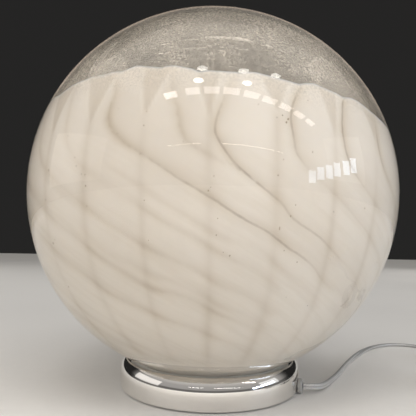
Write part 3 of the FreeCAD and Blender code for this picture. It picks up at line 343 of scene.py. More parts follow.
def edge_lat(lon):
    e = np.array(EDGE, float)
    fine = np.interp(lon, e[:, 0], e[:, 1])
    soft = sum(np.interp((lon + d + 180) % 360 - 180, e[:, 0], e[:, 1]) for d in (-1.2, -0.6, 0, 0.6, 1.2)) / 5
    return 0.6 * fine + 0.4 * soft


# the sweep of a fold: degrees round from its start, and latitude
SWEEP = np.array(
    [(0.6, 17.2), (0.0, 10.0), (3.7, 5.0), (9.9, 1.2), (17.2, -3.5), (24.4, -7.8), (31.5, -12.0),
     (39.9, -16.5), (49.2, -22.0), (57.0, -27.0), (66.0, -32.6), (76.0, -38.6), (87.0, -44.5),
     (99.0, -50.0), (112.0, -55.0)]
)


def sweep_from(start, shift=0.0, first_lat=None, stretch=1.0):
    pts = [(start + u * stretch, la + shift) for u, la in SWEEP]
    if first_lat is not None:
        pts = [(start + 1.6, first_lat)] + [p for p in pts if p[1] < first_lat - 1.5]
    return pts


# each fold: its points, how strong it is along it, and how strong its soft shade is
FOLDS = [
    ([(-26.0, 23.2), (-24.4, 17.8), (-24.7, 10.5), (-21.0, 5.5), (-14.8, 1.6), (-7.5, -3.2), (-0.2, -7.5),
      (6.9, -11.8), (15.3, -16.1), (24.6, -21.9), (29.5, -25.5), (38.4, -30.0), (48.4, -35.0)],
     [0.15, 0.65, 1.3, 1.0, 0.65, 0.8, 0.8, 0.8, 0.8, 0.6, 0.5, 0.3, 0.1], 1.0,
     [0, 0, 0.1, 0.05, 0.25, 0.8, 0.9, 1.0, 0.9, 0.5, 0.2, 0, 0]),
    ([(-10.3, 23.0), (-9.4, 15.5), (-8.0, 11.3), (-7.1, 6.8), (-5.0, 3.8), (-0.4, 1.0), (4.2, -1.2), (9.2, -3.6)],
     [0.1, 0.45, 0.8, 0.8, 0.6, 0.35, 0.2, 0.1], 1.1, [0, 0, 0, 0, 0.1, 0.1, 0, 0]),
    ([(5.0, 21.5), (1.8, 13.1), (0.3, 7.3), (1.8, 3.7), (4.8, -0.4), (9.5, -4.2), (14.6, -7.9), (18.2, -11.4),
      (25.3, -15.4), (30.2, -18.1), (38.4, -23.0), (48.5, -28.5), (58.1, -33.0)],
     [0.2, 0.7, 0.8, 0.9, 0.9, 0.9, 0.8, 0.7, 0.7, 0.6, 0.4, 0.3, 0.1], 0.8,
     [0.0, 0.35, 0.9, 1.0, 1.0, 0.7, 0.35, 0.5, 0.7, 0.5, 0.1, 0, 0]),
    ([(21.7, 19.9), (19.1, 15.9), (17.4, 11.1), (17.7, 5.8), (18.5, 2.3), (21.9, -1.3), (27.9, -5.3), (35.0, -9.9),
      (42.6, -14.4), (52.7, -20.0), (62.0, -26.0)],
     [0.7, 1.0, 0.95, 0.85, 0.6, 0.5, 0.55, 0.6, 0.5, 0.4, 0.2], 0.8,
     [0.7, 0.9, 1.0, 1.0, 0.6, 0.1, 0.1, 0.2, 0.1, 0, 0]),
    ([(35.1, 18.6), (33.5, 16.5), (31.5, 9.3), (32.7, 2.4), (36.6, -2.0), (42.8, -6.4), (49.9, -10.9), (58.5, -16.5), (68.0, -22.0)],
     [0.8, 1.0, 1.0, 0.9, 0.6, 0.55, 0.5, 0.4, 0.2], 0.9, [0.5, 0.9, 1.0, 0.9, 0.2, 0, 0, 0, 0]),
    ([(47.8, 17.1), (45.9, 9.4), (47.2, 3.3), (51.1, -0.8), (57.7, -5.9), (65.0, -11.0), (75.0, -17.0)],
     [0.8, 1.0, 0.9, 0.7, 0.6, 0.5, 0.2], 0.8, [0.3, 0.6, 0.4, 0, 0, 0, 0]),
    ([(-40.8, 23.2), (-39.3, 14.7), (-38.4, 8.6), (-34.3, 2.5), (-27.4, -2.6), (-19.4, -7.4), (-11.4, -12.1),
      (-2.9, -16.8), (7.1, -21.8), (17.1, -27.4)],
     [0.2, 0.5, 0.5, 0.35, 0.3, 0.4, 0.55, 0.6, 0.5, 0.3], 0.6, [0.0] * 10),
    ([(-54.0, 22.2), (-53.1, 12.3), (-50.0, 4.4), (-42.9, -1.3), (-30.9, -8.7), (-19.8, -15.7), (-12.8, -19.2),
      (-3.4, -23.8), (7.1, -29.3), (17.1, -34.4)],
     [0.2, 0.5, 0.6, 0.55, 0.7, 0.8, 0.8, 0.7, 0.5, 0.3], 0.7, [0.0] * 10),
    ([(-70.0, 22.0), (-68.0, 10.0), (-62.0, 0.0), (-48.8, -8.1), (-30.4, -19.0), (-18.1, -26.8), (-8.6, -29.5),
      (3.0, -34.8), (14.0, -39.8)],
     [0.2, 0.6, 0.7, 0.65, 0.75, 0.8, 0.8, 0.7, 0.3], 0.7, [0.0] * 9),
    ([(-84.0, 22.0), (-81.0, 8.0), (-73.0, -2.0), (-57.9, -12.4), (-40.8, -22.0), (-27.9, -30.1), (-14.9, -35.7),
      (-2.0, -40.7), (10.0, -45.8)],
     [0.2, 0.7, 0.7, 0.65, 0.7, 0.75, 0.7, 0.6, 0.3], 0.7, [0.0] * 9),
    ([(-23.9, -0.1), (-14.4, -5.8), (-5.9, -11.3), (0.6, -15.0), (7.6, -17.4), (14.7, -21.1), (22.2, -26.9), (31.2, -32.5)],
     [0.1, 0.35, 0.6, 0.5, 0.35, 0.55, 0.45, 0.2], 0.5, [0.0] * 8),
    ([(-33.9, -12.8), (-23.9, -20.1), (-15.4, -24.1), (-5.9, -27.2), (1.5, -31.4), (11.0, -35.8), (20.0, -40.4)],
     [0.1, 0.5, 0.5, 0.35, 0.55, 0.45, 0.2], 0.5, [0.0] * 7),
]
_rng = np.random.default_rng(41)
_at = 60.0
while _at < 262.0:
    start = _at + _rng.uniform(-2.0, 2.0)
    turn_lat = _rng.uniform(-3.5, 2.0)
    pts = [(p[0], p[1] + (turn_lat if p[1] < 14 else 0.0)) for p in sweep_from(start, 0.0, 16.5, _rng.uniform(0.92, 1.08))]
    n = len(pts)
    sharp = _rng.uniform(0.0, 1.0)
    FOLDS.append((
        pts,
        list(np.interp(np.arange(n), [0, 1, n * 0.35, n * 0.75, n - 1], [0.4, 0.9, 0.65, 0.5, 0.12])),
        0.8,
        list(np.interp(np.arange(n), [0, 1, n * 0.35, n * 0.6, n - 1], [0.3, 1.0, 0.8, 0.0, 0.0]) * sharp),
    ))
    _at += 14.6


def curve_through(pts, values, per=6):
    """A smooth run of points through pts, with values carried along."""
    p = np.array(pts, float)
    v = np.array(values, float)
    n = len(p)
    t = np.arange(n, dtype=float)
    fine = np.linspace(0, n - 1, (n - 1) * per + 1)
    slope = np.zeros_like(p)
    slope[1:-1] = (p[2:] - p[:-2]) / 2
    slope[0], slope[-1] = p[1] - p[0], p[-1] - p[-2]
    i = np.minimum(fine.astype(int), n - 2)
    f = (fine - i)[:, None]
    h = (
        (2 * f ** 3 - 3 * f ** 2 + 1) * p[i] + (f ** 3 - 2 * f ** 2 + f) * slope[i]
        + (-2 * f ** 3 + 3 * f ** 2) * p[i + 1] + (f ** 3 - f ** 2) * slope[i + 1]
    )
    return h, np.interp(fine, t, v)


def fold_fields(lon, lat):
    """Signed distance to the nearest fold in degrees, how strong and how crisp
    it is there, and the soft shades either side of every fold."""
    shape = lon.shape
    best = np.full(shape, 99.0)
    sign = np.ones(shape)
    power = np.zeros(shape)
    crisp = np.zeros(shape)
    upper = np.zeros(shape)
    band = np.zeros(shape)
    for pts, strength, soft, sharp in FOLDS:
        line, value = curve_through(pts, strength, 4)
        _, keen = curve_through(pts, sharp, 4)
        near = np.full(shape, 99.0)
        near_sign = np.ones(shape)
        near_value = np.zeros(shape)
        near_keen = np.zeros(shape)
        for a, b, va, vb, ka, kb in zip(line[:-1], line[1:], value[:-1], value[1:], keen[:-1], keen[1:]):
            k = math.cos(math.radians((a[1] + b[1]) / 2))
            dx = ((lon - a[0] + 180) % 360 - 180) * k
            dy = lat - a[1]
            ex, ey = (b[0] - a[0]) * k, b[1] - a[1]
            f = np.clip((dx * ex + dy * ey) / (ex * ex + ey * ey), 0, 1)
            d = np.hypot(dx - f * ex, dy - f * ey)
            hit = d < near
            near = np.where(hit, d, near)
            near_sign = np.where(hit, np.sign(ex * dy - ey * dx), near_sign)
            near_value = np.where(hit, va + (vb - va) * f, near_value)
            near_keen = np.where(hit, ka + (kb - ka) * f, near_keen)
        above = soft * near_value * np.exp(-(near / 2.6) ** 1.2) * (near_sign > 0)
        upper = np.maximum(upper, above)
        band = np.maximum(band, near_value * np.exp(-(near / 1.05) ** 1.6))
        hit = near < best
        best = np.where(hit, near, best)
        sign = np.where(hit, near_sign, sign)
        power = np.where(hit, near_value, power)
        crisp = np.where(hit, near_keen, crisp)
    return best * sign, best, power, crisp, upper, band


def rib_field(lon, lat):
    """Upright ribs, one every 15 degrees, each slightly bowed, and the pockets
    between the petals at their tops."""
    bow = 1.4 * np.cos(np.radians((lat + 5.0) * 3.0)) - 0.035 * (lat + 5.0)
    warp = lon + bow * 0.8 + 0.6 * np.sin(np.radians(lat * 5.0 + lon * 3.0))
    cell = (warp + 7.5) % 15.0 - 7.5
    which = np.round(warp / 15.0)
    rng = np.random.default_rng(7)
    strengths = 0.60 + 0.40 * rng.random(48)
    wide = 0.80 + 0.55 * rng.random(48)
    lean = rng.uniform(-1.0, 1.0, 48)
    foot = rng.uniform(7.0, 12.0, 48)
    mouth = rng.uniform(3.0, 5.0, 48)
    k = which.astype(int) % 24
    s = strengths[k]
    w = wide[k]
    down = 0.72 + 0.28 * np.sin(np.radians(lat * 6.0 + k * 70.0))
    fade = smooth01((22.0 - lat) / 10.0) * smooth01((lat + 62.0) / 18.0)
    rib = s * down * fade * np.exp(-(np.abs(cell * np.cos(np.radians(lat))) / w) ** 1.5)
    up = np.clip((lat - foot[k]) / (22.0 - foot[k]), 0.0, 1.3)
    half = mouth[k] * up ** 0.8
    inside = half - np.abs(cell - lean[k] * up * 1.5)
    inside = np.where(lat < foot[k] - 1.0, -9.0, inside)
    right = (cell - lean[k] * up * 1.5) > 0
    return rib, cell, inside, right


COLS = 600
ROWS = 150
R_WHITE = 172.5
T_WHITE = 1.7
LAT_LOW = -math.degrees(math.acos(58.9 / 172.0))
lon1 = np.arange(COLS) * 360.0 / COLS - 180.0
top1 = edge_lat(lon1)
v1 = np.linspace(0, 1, ROWS)
v1 = v1 ** 1.0
LON = np.repeat(lon1[None, :], ROWS, 0)
LAT = top1[None, :] * (1 - v1[:, None]) + LAT_LOW * v1[:, None]
slant = 0.30 * np.sin(np.radians(LON * 24.0 + 40.0)) * smooth01((-8.0 - LAT) / 10.0)
sd, ud, power, crisp, upper, band = fold_fields(LON, LAT + slant)
rib, cell, inside, right_side = rib_field(LON, LAT)
low = smooth01((2.0 - LAT) / 9.0)
beat = 1.0 - 0.55 * low * (1.0 - np.exp(-((cell - 1.2) / 3.4) ** 2))
band = band * beat
upper = upper * beat
pocket = smooth01((inside + 0.25) / 0.9)
petal_line = np.exp(-(inside / 0.45) ** 2) * smooth01((LAT - 8.0) / 6.0)
from_edge = (top1[None, :] - LAT)
step = 0.35 * (sd > 0) * upper - 0.55 * band - 0.45 * rib - 0.30 * pocket + 0.15 * petal_line
wave = 0.25 * np.sin(np.radians(LON * 5 + LAT * 7)) + 0.2 * np.sin(np.radians(LON * 11 - LAT * 9 + 40))
radius = R_WHITE + step + 0.6 * wave
# the layer thins and turns in at its upper edge
lip = np.exp(-from_edge / 0.7)
radius = radius - 0.35 * lip
outer = on_sphere(LON, LAT, radius)
rim_rows, rim_lon, rim_lat = [], lon1, top1
r0 = radius[0]
for k in range(1, 5):
    a = math.pi * k / 5
    mid = r0 - T_WHITE / 2 + 0.1
    rr = mid + (T_WHITE / 2) * math.cos(a)
    ll = rim_lat + 0.28 * math.sin(a)
    rim_rows.append(on_sphere(rim_lon, ll, rr))
IN_ROWS = 14
vin = np.linspace(0, 1, IN_ROWS)
LAT_IN = top1[None, :] * (1 - vin[:, None]) + LAT_LOW * vin[:, None]
inner = on_sphere(np.repeat(lon1[None, :], IN_ROWS, 0), LAT_IN, np.full((IN_ROWS, COLS), 170.85))
grid = np.concatenate([inner[::-1], np.array(rim_rows)[::-1], outer], 0) * MM
white = grid_mesh("white_layer", grid, closed_rows=True)
n_before = IN_ROWS + len(rim_rows)


def padded_rows(values, before=0.0):
    return np.concatenate([np.full((n_before, COLS), before), values], 0)


add_attribute(white, "fold_side", padded_rows(sd, 50.0))
add_attribute(white, "fold_near", padded_rows(ud, 50.0))
add_attribute(white, "fold_power", padded_rows(power * crisp))
add_attribute(white, "fold_painted_shade", padded_rows(upper))
add_attribute(white, "fold_band_painted_shade", padded_rows(band))
add_attribute(white, "rib", padded_rows(rib))
add_attribute(white, "pocket", padded_rows(pocket))
add_attribute(white, "petal_line", padded_rows(petal_line))
seam = smooth01((178.0 - np.abs(LON)) / 14.0)
add_attribute(white, "sweep", padded_rows(LAT + 0.55 * LON))
add_attribute(white, "sweep_along", padded_rows(LON * 0.83 - LAT * 0.45))
add_attribute(white, "sweep_on", padded_rows(seam * (0.25 + 0.75 * smooth01((8.0 - LAT) / 14.0))))
add_attribute(white, "from_edge", padded_rows(from_edge))
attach(white, "globe")

# the clear layer over it, one closed shell from the crown to the foot
CC = 480
lonc = np.arange(CC) * 360.0 / CC - 180.0
R_CLEAR, R_HOLLOW = 174.96, 171.0
lat_out = -math.degrees(math.acos(58.3 / R_CLEAR))
lat_in = -math.degrees(math.acos(58.3 / R_HOLLOW))


def shell_rows(r, low, rows):
    lats = np.linspace(89.6, low, rows)
    return on_sphere(np.repeat(lonc[None, :], rows, 0), np.repeat(lats[:, None], CC, 1), np.full((rows, CC), r)), lats


out_rows, out_lats = shell_rows(R_CLEAR, lat_out, 150)
in_rows, in_lats = shell_rows(R_HOLLOW, lat_in, 60)
foot = []
for k in range(1, 4):
    a = math.pi * k / 4
    mid_r = (R_CLEAR + R_HOLLOW) / 2 + (R_CLEAR - R_HOLLOW) / 2 * math.cos(a)
    low_lat = lat_out + (lat_in - lat_out) * k / 4
    foot.append(on_sphere(lonc, np.full(CC, low_lat - 0.25 * math.sin(a)), np.full(CC, mid_r)))
clear_grid = np.concatenate([out_rows, np.array(foot), in_rows[::-1]], 0) * MM
clear = grid_mesh("clear_layer", clear_grid)


def outline_distance(lon, lat, outline):
    """Distance in degrees inside (+) or outside (-) a closed outline."""
    near = np.full(lon.shape, 99.0)
    inside = np.zeros(lon.shape, bool)
    pts = np.array(outline, float)
    for a, b in zip(pts, np.roll(pts, -1, 0)):
        k = math.cos(math.radians((a[1] + b[1]) / 2))
        dx, dy = (lon - a[0]) * k, lat - a[1]
        ex, ey = (b[0] - a[0]) * k, b[1] - a[1]
        f = np.clip((dx * ex + dy * ey) / (ex * ex + ey * ey + 1e-12), 0, 1)
        near = np.minimum(near, np.hypot(dx - f * ex, dy - f * ey))
        crosses = ((a[1] > lat) != (b[1] > lat)) & (lon < a[0] + (lat - a[1]) * (b[0] - a[0]) / (b[1] - a[1] + 1e-12))
        inside ^= crosses
    return np.where(inside, near, -near)


# thin petals of the white layer's glass that were drawn up over its edge
LEAVES = [
    [(25.4, 26.1), (31.4, 31.1), (34.7, 29.4), (37.4, 27.0), (38.9, 22.7), (42.7, 19.8), (46.3, 17.1), (52.2, 14.5),
     (45.4, 14.5), (40.2, 16.6), (34.6, 17.7), (29.8, 18.9), (26.2, 20.1), (25.1, 22.5)],
    [(-36.0, 24.3), (-35.2, 27.0), (-31.7, 28.3), (-28.1, 29.1), (-25.2, 27.3), (-22.9, 25.2), (-22.2, 22.2),
     (-26.6, 22.4), (-30.7, 22.6)],
    [(-35.8, 24.9), (-36.3, 29.5), (-34.0, 33.9), (-31.4, 36.5), (-32.7, 30.4), (-34.0, 26.2)],
    [(118.0, 16.4), (121.0, 22.0), (127.0, 24.0), (132.5, 20.0), (133.0, 16.5)],
    [(-150.0, 19.4), (-148.0, 24.6), (-141.0, 26.0), (-136.5, 22.5), (-136.0, 19.6)],
]
# faint rings left near the crown by the blowing
RINGS = [
    [(-19.4, 27.8), (-17.3, 29.0), (-13.4, 30.4), (-9.3, 31.3), (-2.6, 31.9), (4.1, 31.9), (11.0, 31.3), (16.4, 30.0), (19.9, 28.7)],
    [(-14.0, 30.3), (-7.7, 31.5), (-1.6, 32.5), (4.6, 32.7), (9.7, 32.3)],
    [(-16.1, 26.7), (-12.0, 27.7), (-7.6, 28.2), (-1.2, 28.7), (6.5, 28.5), (12.2, 27.5)],
    [(150.0, 34.0), (158.0, 36.0), (168.0, 37.0), (176.0, 36.4)],
]
LO, LA = np.meshgrid(lonc, out_lats)
leaf = np.full(LO.shape, -9.0)
for outline in LEAVES:
    leaf = np.maximum(leaf, outline_distance(LO, LA, outline))
ring_near = np.full(LO.shape, 9.0)
for pts in RINGS:
    line, _ = curve_through(pts, [1.0] * len(pts), 4)
    for a, b in zip(line[:-1], line[1:]):
        k = math.cos(math.radians((a[1] + b[1]) / 2))
        dx, dy = (LO - a[0]) * k, LA - a[1]
        ex, ey = (b[0] - a[0]) * k, b[1] - a[1]
        f = np.clip((dx * ex + dy * ey) / (ex * ex + ey * ey), 0, 1)
        ring_near = np.minimum(ring_near, np.hypot(dx - f * ex, dy - f * ey))


def outside_only(name, values, rest):
    full = np.full((len(clear.data.vertices),), rest)
    full[: values.size] = np.clip(values, -9, 9).reshape(-1)
    add_attribute(clear, name, full)


outside_only("leaf", leaf, -9.0)
outside_only("ring_near", ring_near, 9.0)
import bmesh

bm = bmesh.new()
bm.from_mesh(clear.data)
bm.verts.ensure_lookup_table()
layer = bm.verts.layers.float["leaf"]
ring_layer = bm.verts.layers.float["ring_near"]
total = len(bm.verts)
for ring, r in ((list(range(CC)), R_CLEAR), (list(range(total - CC, total)), R_HOLLOW)):
    ring = [bm.verts[i] for i in ring]
    crown = bm.verts.new((0.0, 0.0, (184.4 + r) * MM))
    crown[layer] = -9.0
    crown[ring_layer] = 9.0
    for i in range(CC):
        bm.faces.new((ring[i], ring[(i + 1) % CC], crown))
    bm.verts.ensure_lookup_table()
bmesh.ops.recalc_face_normals(bm, faces=bm.faces)
for f in bm.faces:
    f.smooth = True
bm.to_mesh(clear.data)
bm.free()
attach(clear, "globe")
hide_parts("glass_globe")


# seeds and specks held in the clear layer: where, how long, how wide, how far it leans
SEEDS = [
    (-15.1, 8.1, 0.55, 0.45, 0), (-14.8, 11.3, 0.4, 0.35, 0), (-15.5, 1.8, 0.5, 0.4, 20), (16.5, 10.1, 0.95, 0.75, 30),
    (16.0, 9.3, 0.85, 0.7, 10), (15.2, 10.9, 0.6, 0.5, 0), (30.9, 8.8, 0.7, 0.45, 0), (14.8, -13.5, 1.25, 0.55, 0),
    (17.1, -10.8, 0.75, 0.65, 0), (13.8, -2.4, 0.6, 0.5, 0), (-0.8, -6.0, 0.7, 0.6, 0), (1.0, -15.2, 0.65, 0.5, 0),
    (1.2, -11.7, 0.45, 0.4, 0), (-29.7, -1.9, 0.6, 0.5, 0), (-29.5, -4.4, 0.7, 0.55, 0), (-29.4, -8.9, 0.5, 0.4, 0),
    (-33.2, 2.3, 0.45, 0.4, 0), (-14.5, -8.0, 0.5, 0.45, 0), (-0.3, -5.3, 0.4, 0.35, 0), (-14.0, -16.5, 0.5, 0.4, 0),
    (0.3, -3.0, 0.5, 0.4, 0), (18.1, -8.4, 0.5, 0.4, 0), (15.0, 1.0, 0.45, 0.4, 0), (4.1, -19.6, 0.7, 0.5, 25),
    (16.5, -18.3, 0.5, 0.4, 0), (-21.4, 6.7, 0.5, 0.4, 0), (20.3, -20.9, 0.55, 0.45, 0), (22.0, 3.2, 0.5, 0.4, 0),
    (2.6, -18.9, 0.4, 0.35, 0), (-6.2, 4.2, 0.4, 0.35, 0), (9.8, 13.0, 0.45, 0.4, 0), (38.5, -8.0, 0.6, 0.5, 0),
]
_seed = np.random.default_rng(23)
for _ in range(90):
    _lon = 42.0 + 276.0 * _seed.random()
    if _seed.random() < 0.6:
        _lon = round(_lon / 15.0) * 15.0 + _seed.normal() * 1.2
    _size = 0.35 + 0.5 * _seed.random() ** 2
    SEEDS.append(((_lon + 180.0) % 360.0 - 180.0, -48.0 + 62.0 * _seed.random(), _size * 1.25, _size, _seed.uniform(-30, 30)))


def seed_mesh():
    verts, faces = [], []
    around, up = 8, 5
    for lon, lat, long, wide, lean in SEEDS:
        lo, la, tilt = map(math.radians, (lon, lat, lean))
        out = Vector((math.cos(la) * math.sin(lo), -math.cos(la) * math.cos(lo), math.sin(la)))
        east = Vector((math.cos(lo), math.sin(lo), 0.0))
        north = out.cross(east) * (1 if out.cross(east).z > 0 else -1)
        a1 = north * math.cos(tilt) + east * math.sin(tilt)
        a2 = east * math.cos(tilt) - north * math.sin(tilt)
        mid = Vector(CENTRE) + out * 174.05
        first = len(verts)
        verts.append(mid + a1 * long)
        for j in range(1, up):
            t = math.pi * j / up
            for i in range(around):
                q = 2 * math.pi * i / around
                verts.append(mid + a1 * (long * math.cos(t)) + (a2 * math.cos(q) * wide + out * math.sin(q) * 0.42) * math.sin(t))
        verts.append(mid - a1 * long)
        last = len(verts) - 1
        for i in range(around):
            n = (i + 1) % around
            faces.append((first, first + 1 + i, first + 1 + n))
            for j in range(up - 2):
                b = first + 1 + j * around
                faces.append((b + i, b + around + i, b + around + n, b + n))
            b = first + 1 + (up - 2) * around
            faces.append((b + i, last, b + n))
    obj = mesh_piece("glass_seeds", [v * MM for v in verts], faces)
    bm = bmesh.new()
    bm.from_mesh(obj.data)
    bmesh.ops.recalc_face_normals(bm, faces=bm.faces)
    bm.to_mesh(obj.data)
    bm.free()
    return obj


seeds = seed_mesh()
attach(seeds, "globe")


# ------------------------------------------------------------------ materials
class Build:
    """A material's node tree, built a node at a time."""

    def __init__(self, name):
        self.mat = bpy.data.materials.new(name)
        self.mat.use_nodes = True
        self.tree = self.mat.node_tree
        self.tree.nodes.clear()
        self.out = self.node("ShaderNodeOutputMaterial")
        self.coords = None

    def node(self, kind, **props):
        n = self.tree.nodes.new(kind)
        for k, v in props.items():
            setattr(n, k, v)
        return n

    def link(self, a, b):
        self.tree.links.new(a, b)

    def put(self, socket, value):
        if isinstance(value, bpy.types.NodeSocket):
            self.link(value, socket)
        elif isinstance(value, (tuple, list)) and len(value) == 3 and socket.type == "RGBA":
            socket.default_value = (*value, 1.0)
        else:
            socket.default_value = value

    def place(self, scale=(1, 1, 1)):
        if self.coords is None:
            self.coords = self.node("ShaderNodeTexCoord")
        m = self.node("ShaderNodeMapping")
        m.inputs["Scale"].default_value = scale
        self.link(self.coords.outputs["Object"], m.inputs["Vector"])
        return m.outputs["Vector"]

    def noise(self, scale, detail=3.0, rough=0.55, stretch=(1, 1, 1), distort=0.0):
        n = self.node("ShaderNodeTexNoise")
        n.inputs["Scale"].default_value = scale
        n.inputs["Detail"].default_value = detail
        n.inputs["Roughness"].default_value = rough
        n.inputs["Distortion"].default_value = distort
        self.link(self.place(stretch), n.inputs["Vector"])
        return n.outputs["Fac"]

    def cells(self, scale, feature="F1", stretch=(1, 1, 1)):
        n = self.node("ShaderNodeTexVoronoi", feature=feature)
        n.inputs["Scale"].default_value = scale
        self.link(self.place(stretch), n.inputs["Vector"])
        return n.outputs["Distance"]

    def attribute(self, name):
        n = self.node("ShaderNodeAttribute", attribute_name=name)
        return n.outputs["Fac"]

    def maths(self, op, a, b=None, c=None, clamp=False):
        n = self.node("ShaderNodeMath", operation=op, use_clamp=clamp)
        self.put(n.inputs[0], a)
        if b is not None:
            self.put(n.inputs[1], b)
        if c is not None:
            self.put(n.inputs[2], c)
        return n.outputs[0]

    def span(self, value, lo, hi, to_lo=0.0, to_hi=1.0, smooth=False):
        n = self.node("ShaderNodeMapRange", interpolation_type="SMOOTHSTEP" if smooth else "LINEAR")
        self.put(n.inputs[0], value)
        for i, x in enumerate((lo, hi, to_lo, to_hi), start=1):
            self.put(n.inputs[i], x)
        return n.outputs[0]

    def mix(self, fac, a, b, blend="MIX"):
        n = self.node("ShaderNodeMix", data_type="RGBA", blend_type=blend)
        self.put(n.inputs["Factor"], fac)
        self.put(n.inputs[6], a)
        self.put(n.inputs[7], b)
        return n.outputs[2]

    def bump(self, height, strength, distance, below=None):
        n = self.node("ShaderNodeBump")
        n.inputs["Strength"].default_value = strength
        n.inputs["Distance"].default_value = distance
        self.put(n.inputs["Height"], height)
        if below is not None:
            self.link(below, n.inputs["Normal"])
        return n.outputs["Normal"]

    def principled(self, **values):
        n = self.node("ShaderNodeBsdfPrincipled")
        for k, v in values.items():
            self.put(n.inputs[k.replace("_", " ")], v)
        return n

    def finish(self, shader):
        self.link(shader, self.out.inputs["Surface"])
        return self.mat


def worn(name, a, b, rough=(0.3, 0.5), metal=0.0, scale=60.0, grain=900.0, bump=0.0002,
         strength=0.25, coat=0.0, coat_rough=0.1, stretch=(1, 1, 1), specks=None, sheen=0.0, sub=0.0):
    """A surface whose colour, gloss and relief vary at two sizes."""
    m = Build(name)
    broad, fine = m.noise(scale, 4.0), m.noise(grain, 2.0, 0.6, stretch)
    mixed = m.maths("ADD", m.maths("MULTIPLY", broad, 0.6), m.maths("MULTIPLY", fine, 0.4))
    colour = m.mix(m.span(mixed, 0.35, 0.65), a, b)
    if specks:
        dots = m.span(m.cells(specks[1]), 0.10, 0.16, 1.0, 0.0)
        colour = m.mix(m.maths("MULTIPLY", dots, specks[2]), colour, specks[0])
    rr = m.span(mixed, 0.3, 0.7, rough[0], rough[1])
    p = m.principled(Base_Color=colour, Roughness=rr, Metallic=metal, Normal=m.bump(fine, strength, bump))
    p.inputs["Coat Weight"].default_value = coat
    p.inputs["Coat Roughness"].default_value = coat_rough
    if sheen:
        p.inputs["Sheen Weight"].default_value = sheen
    if sub:
        p.inputs["Subsurface Weight"].default_value = sub
        p.inputs["Subsurface Radius"].default_value = (0.004, 0.003, 0.002)
        p.inputs["Subsurface Scale"].default_value = 1.0
    return m.finish(p.outputs["BSDF"])


WHITE_BODY = (0.785, 0.737, 0.680)


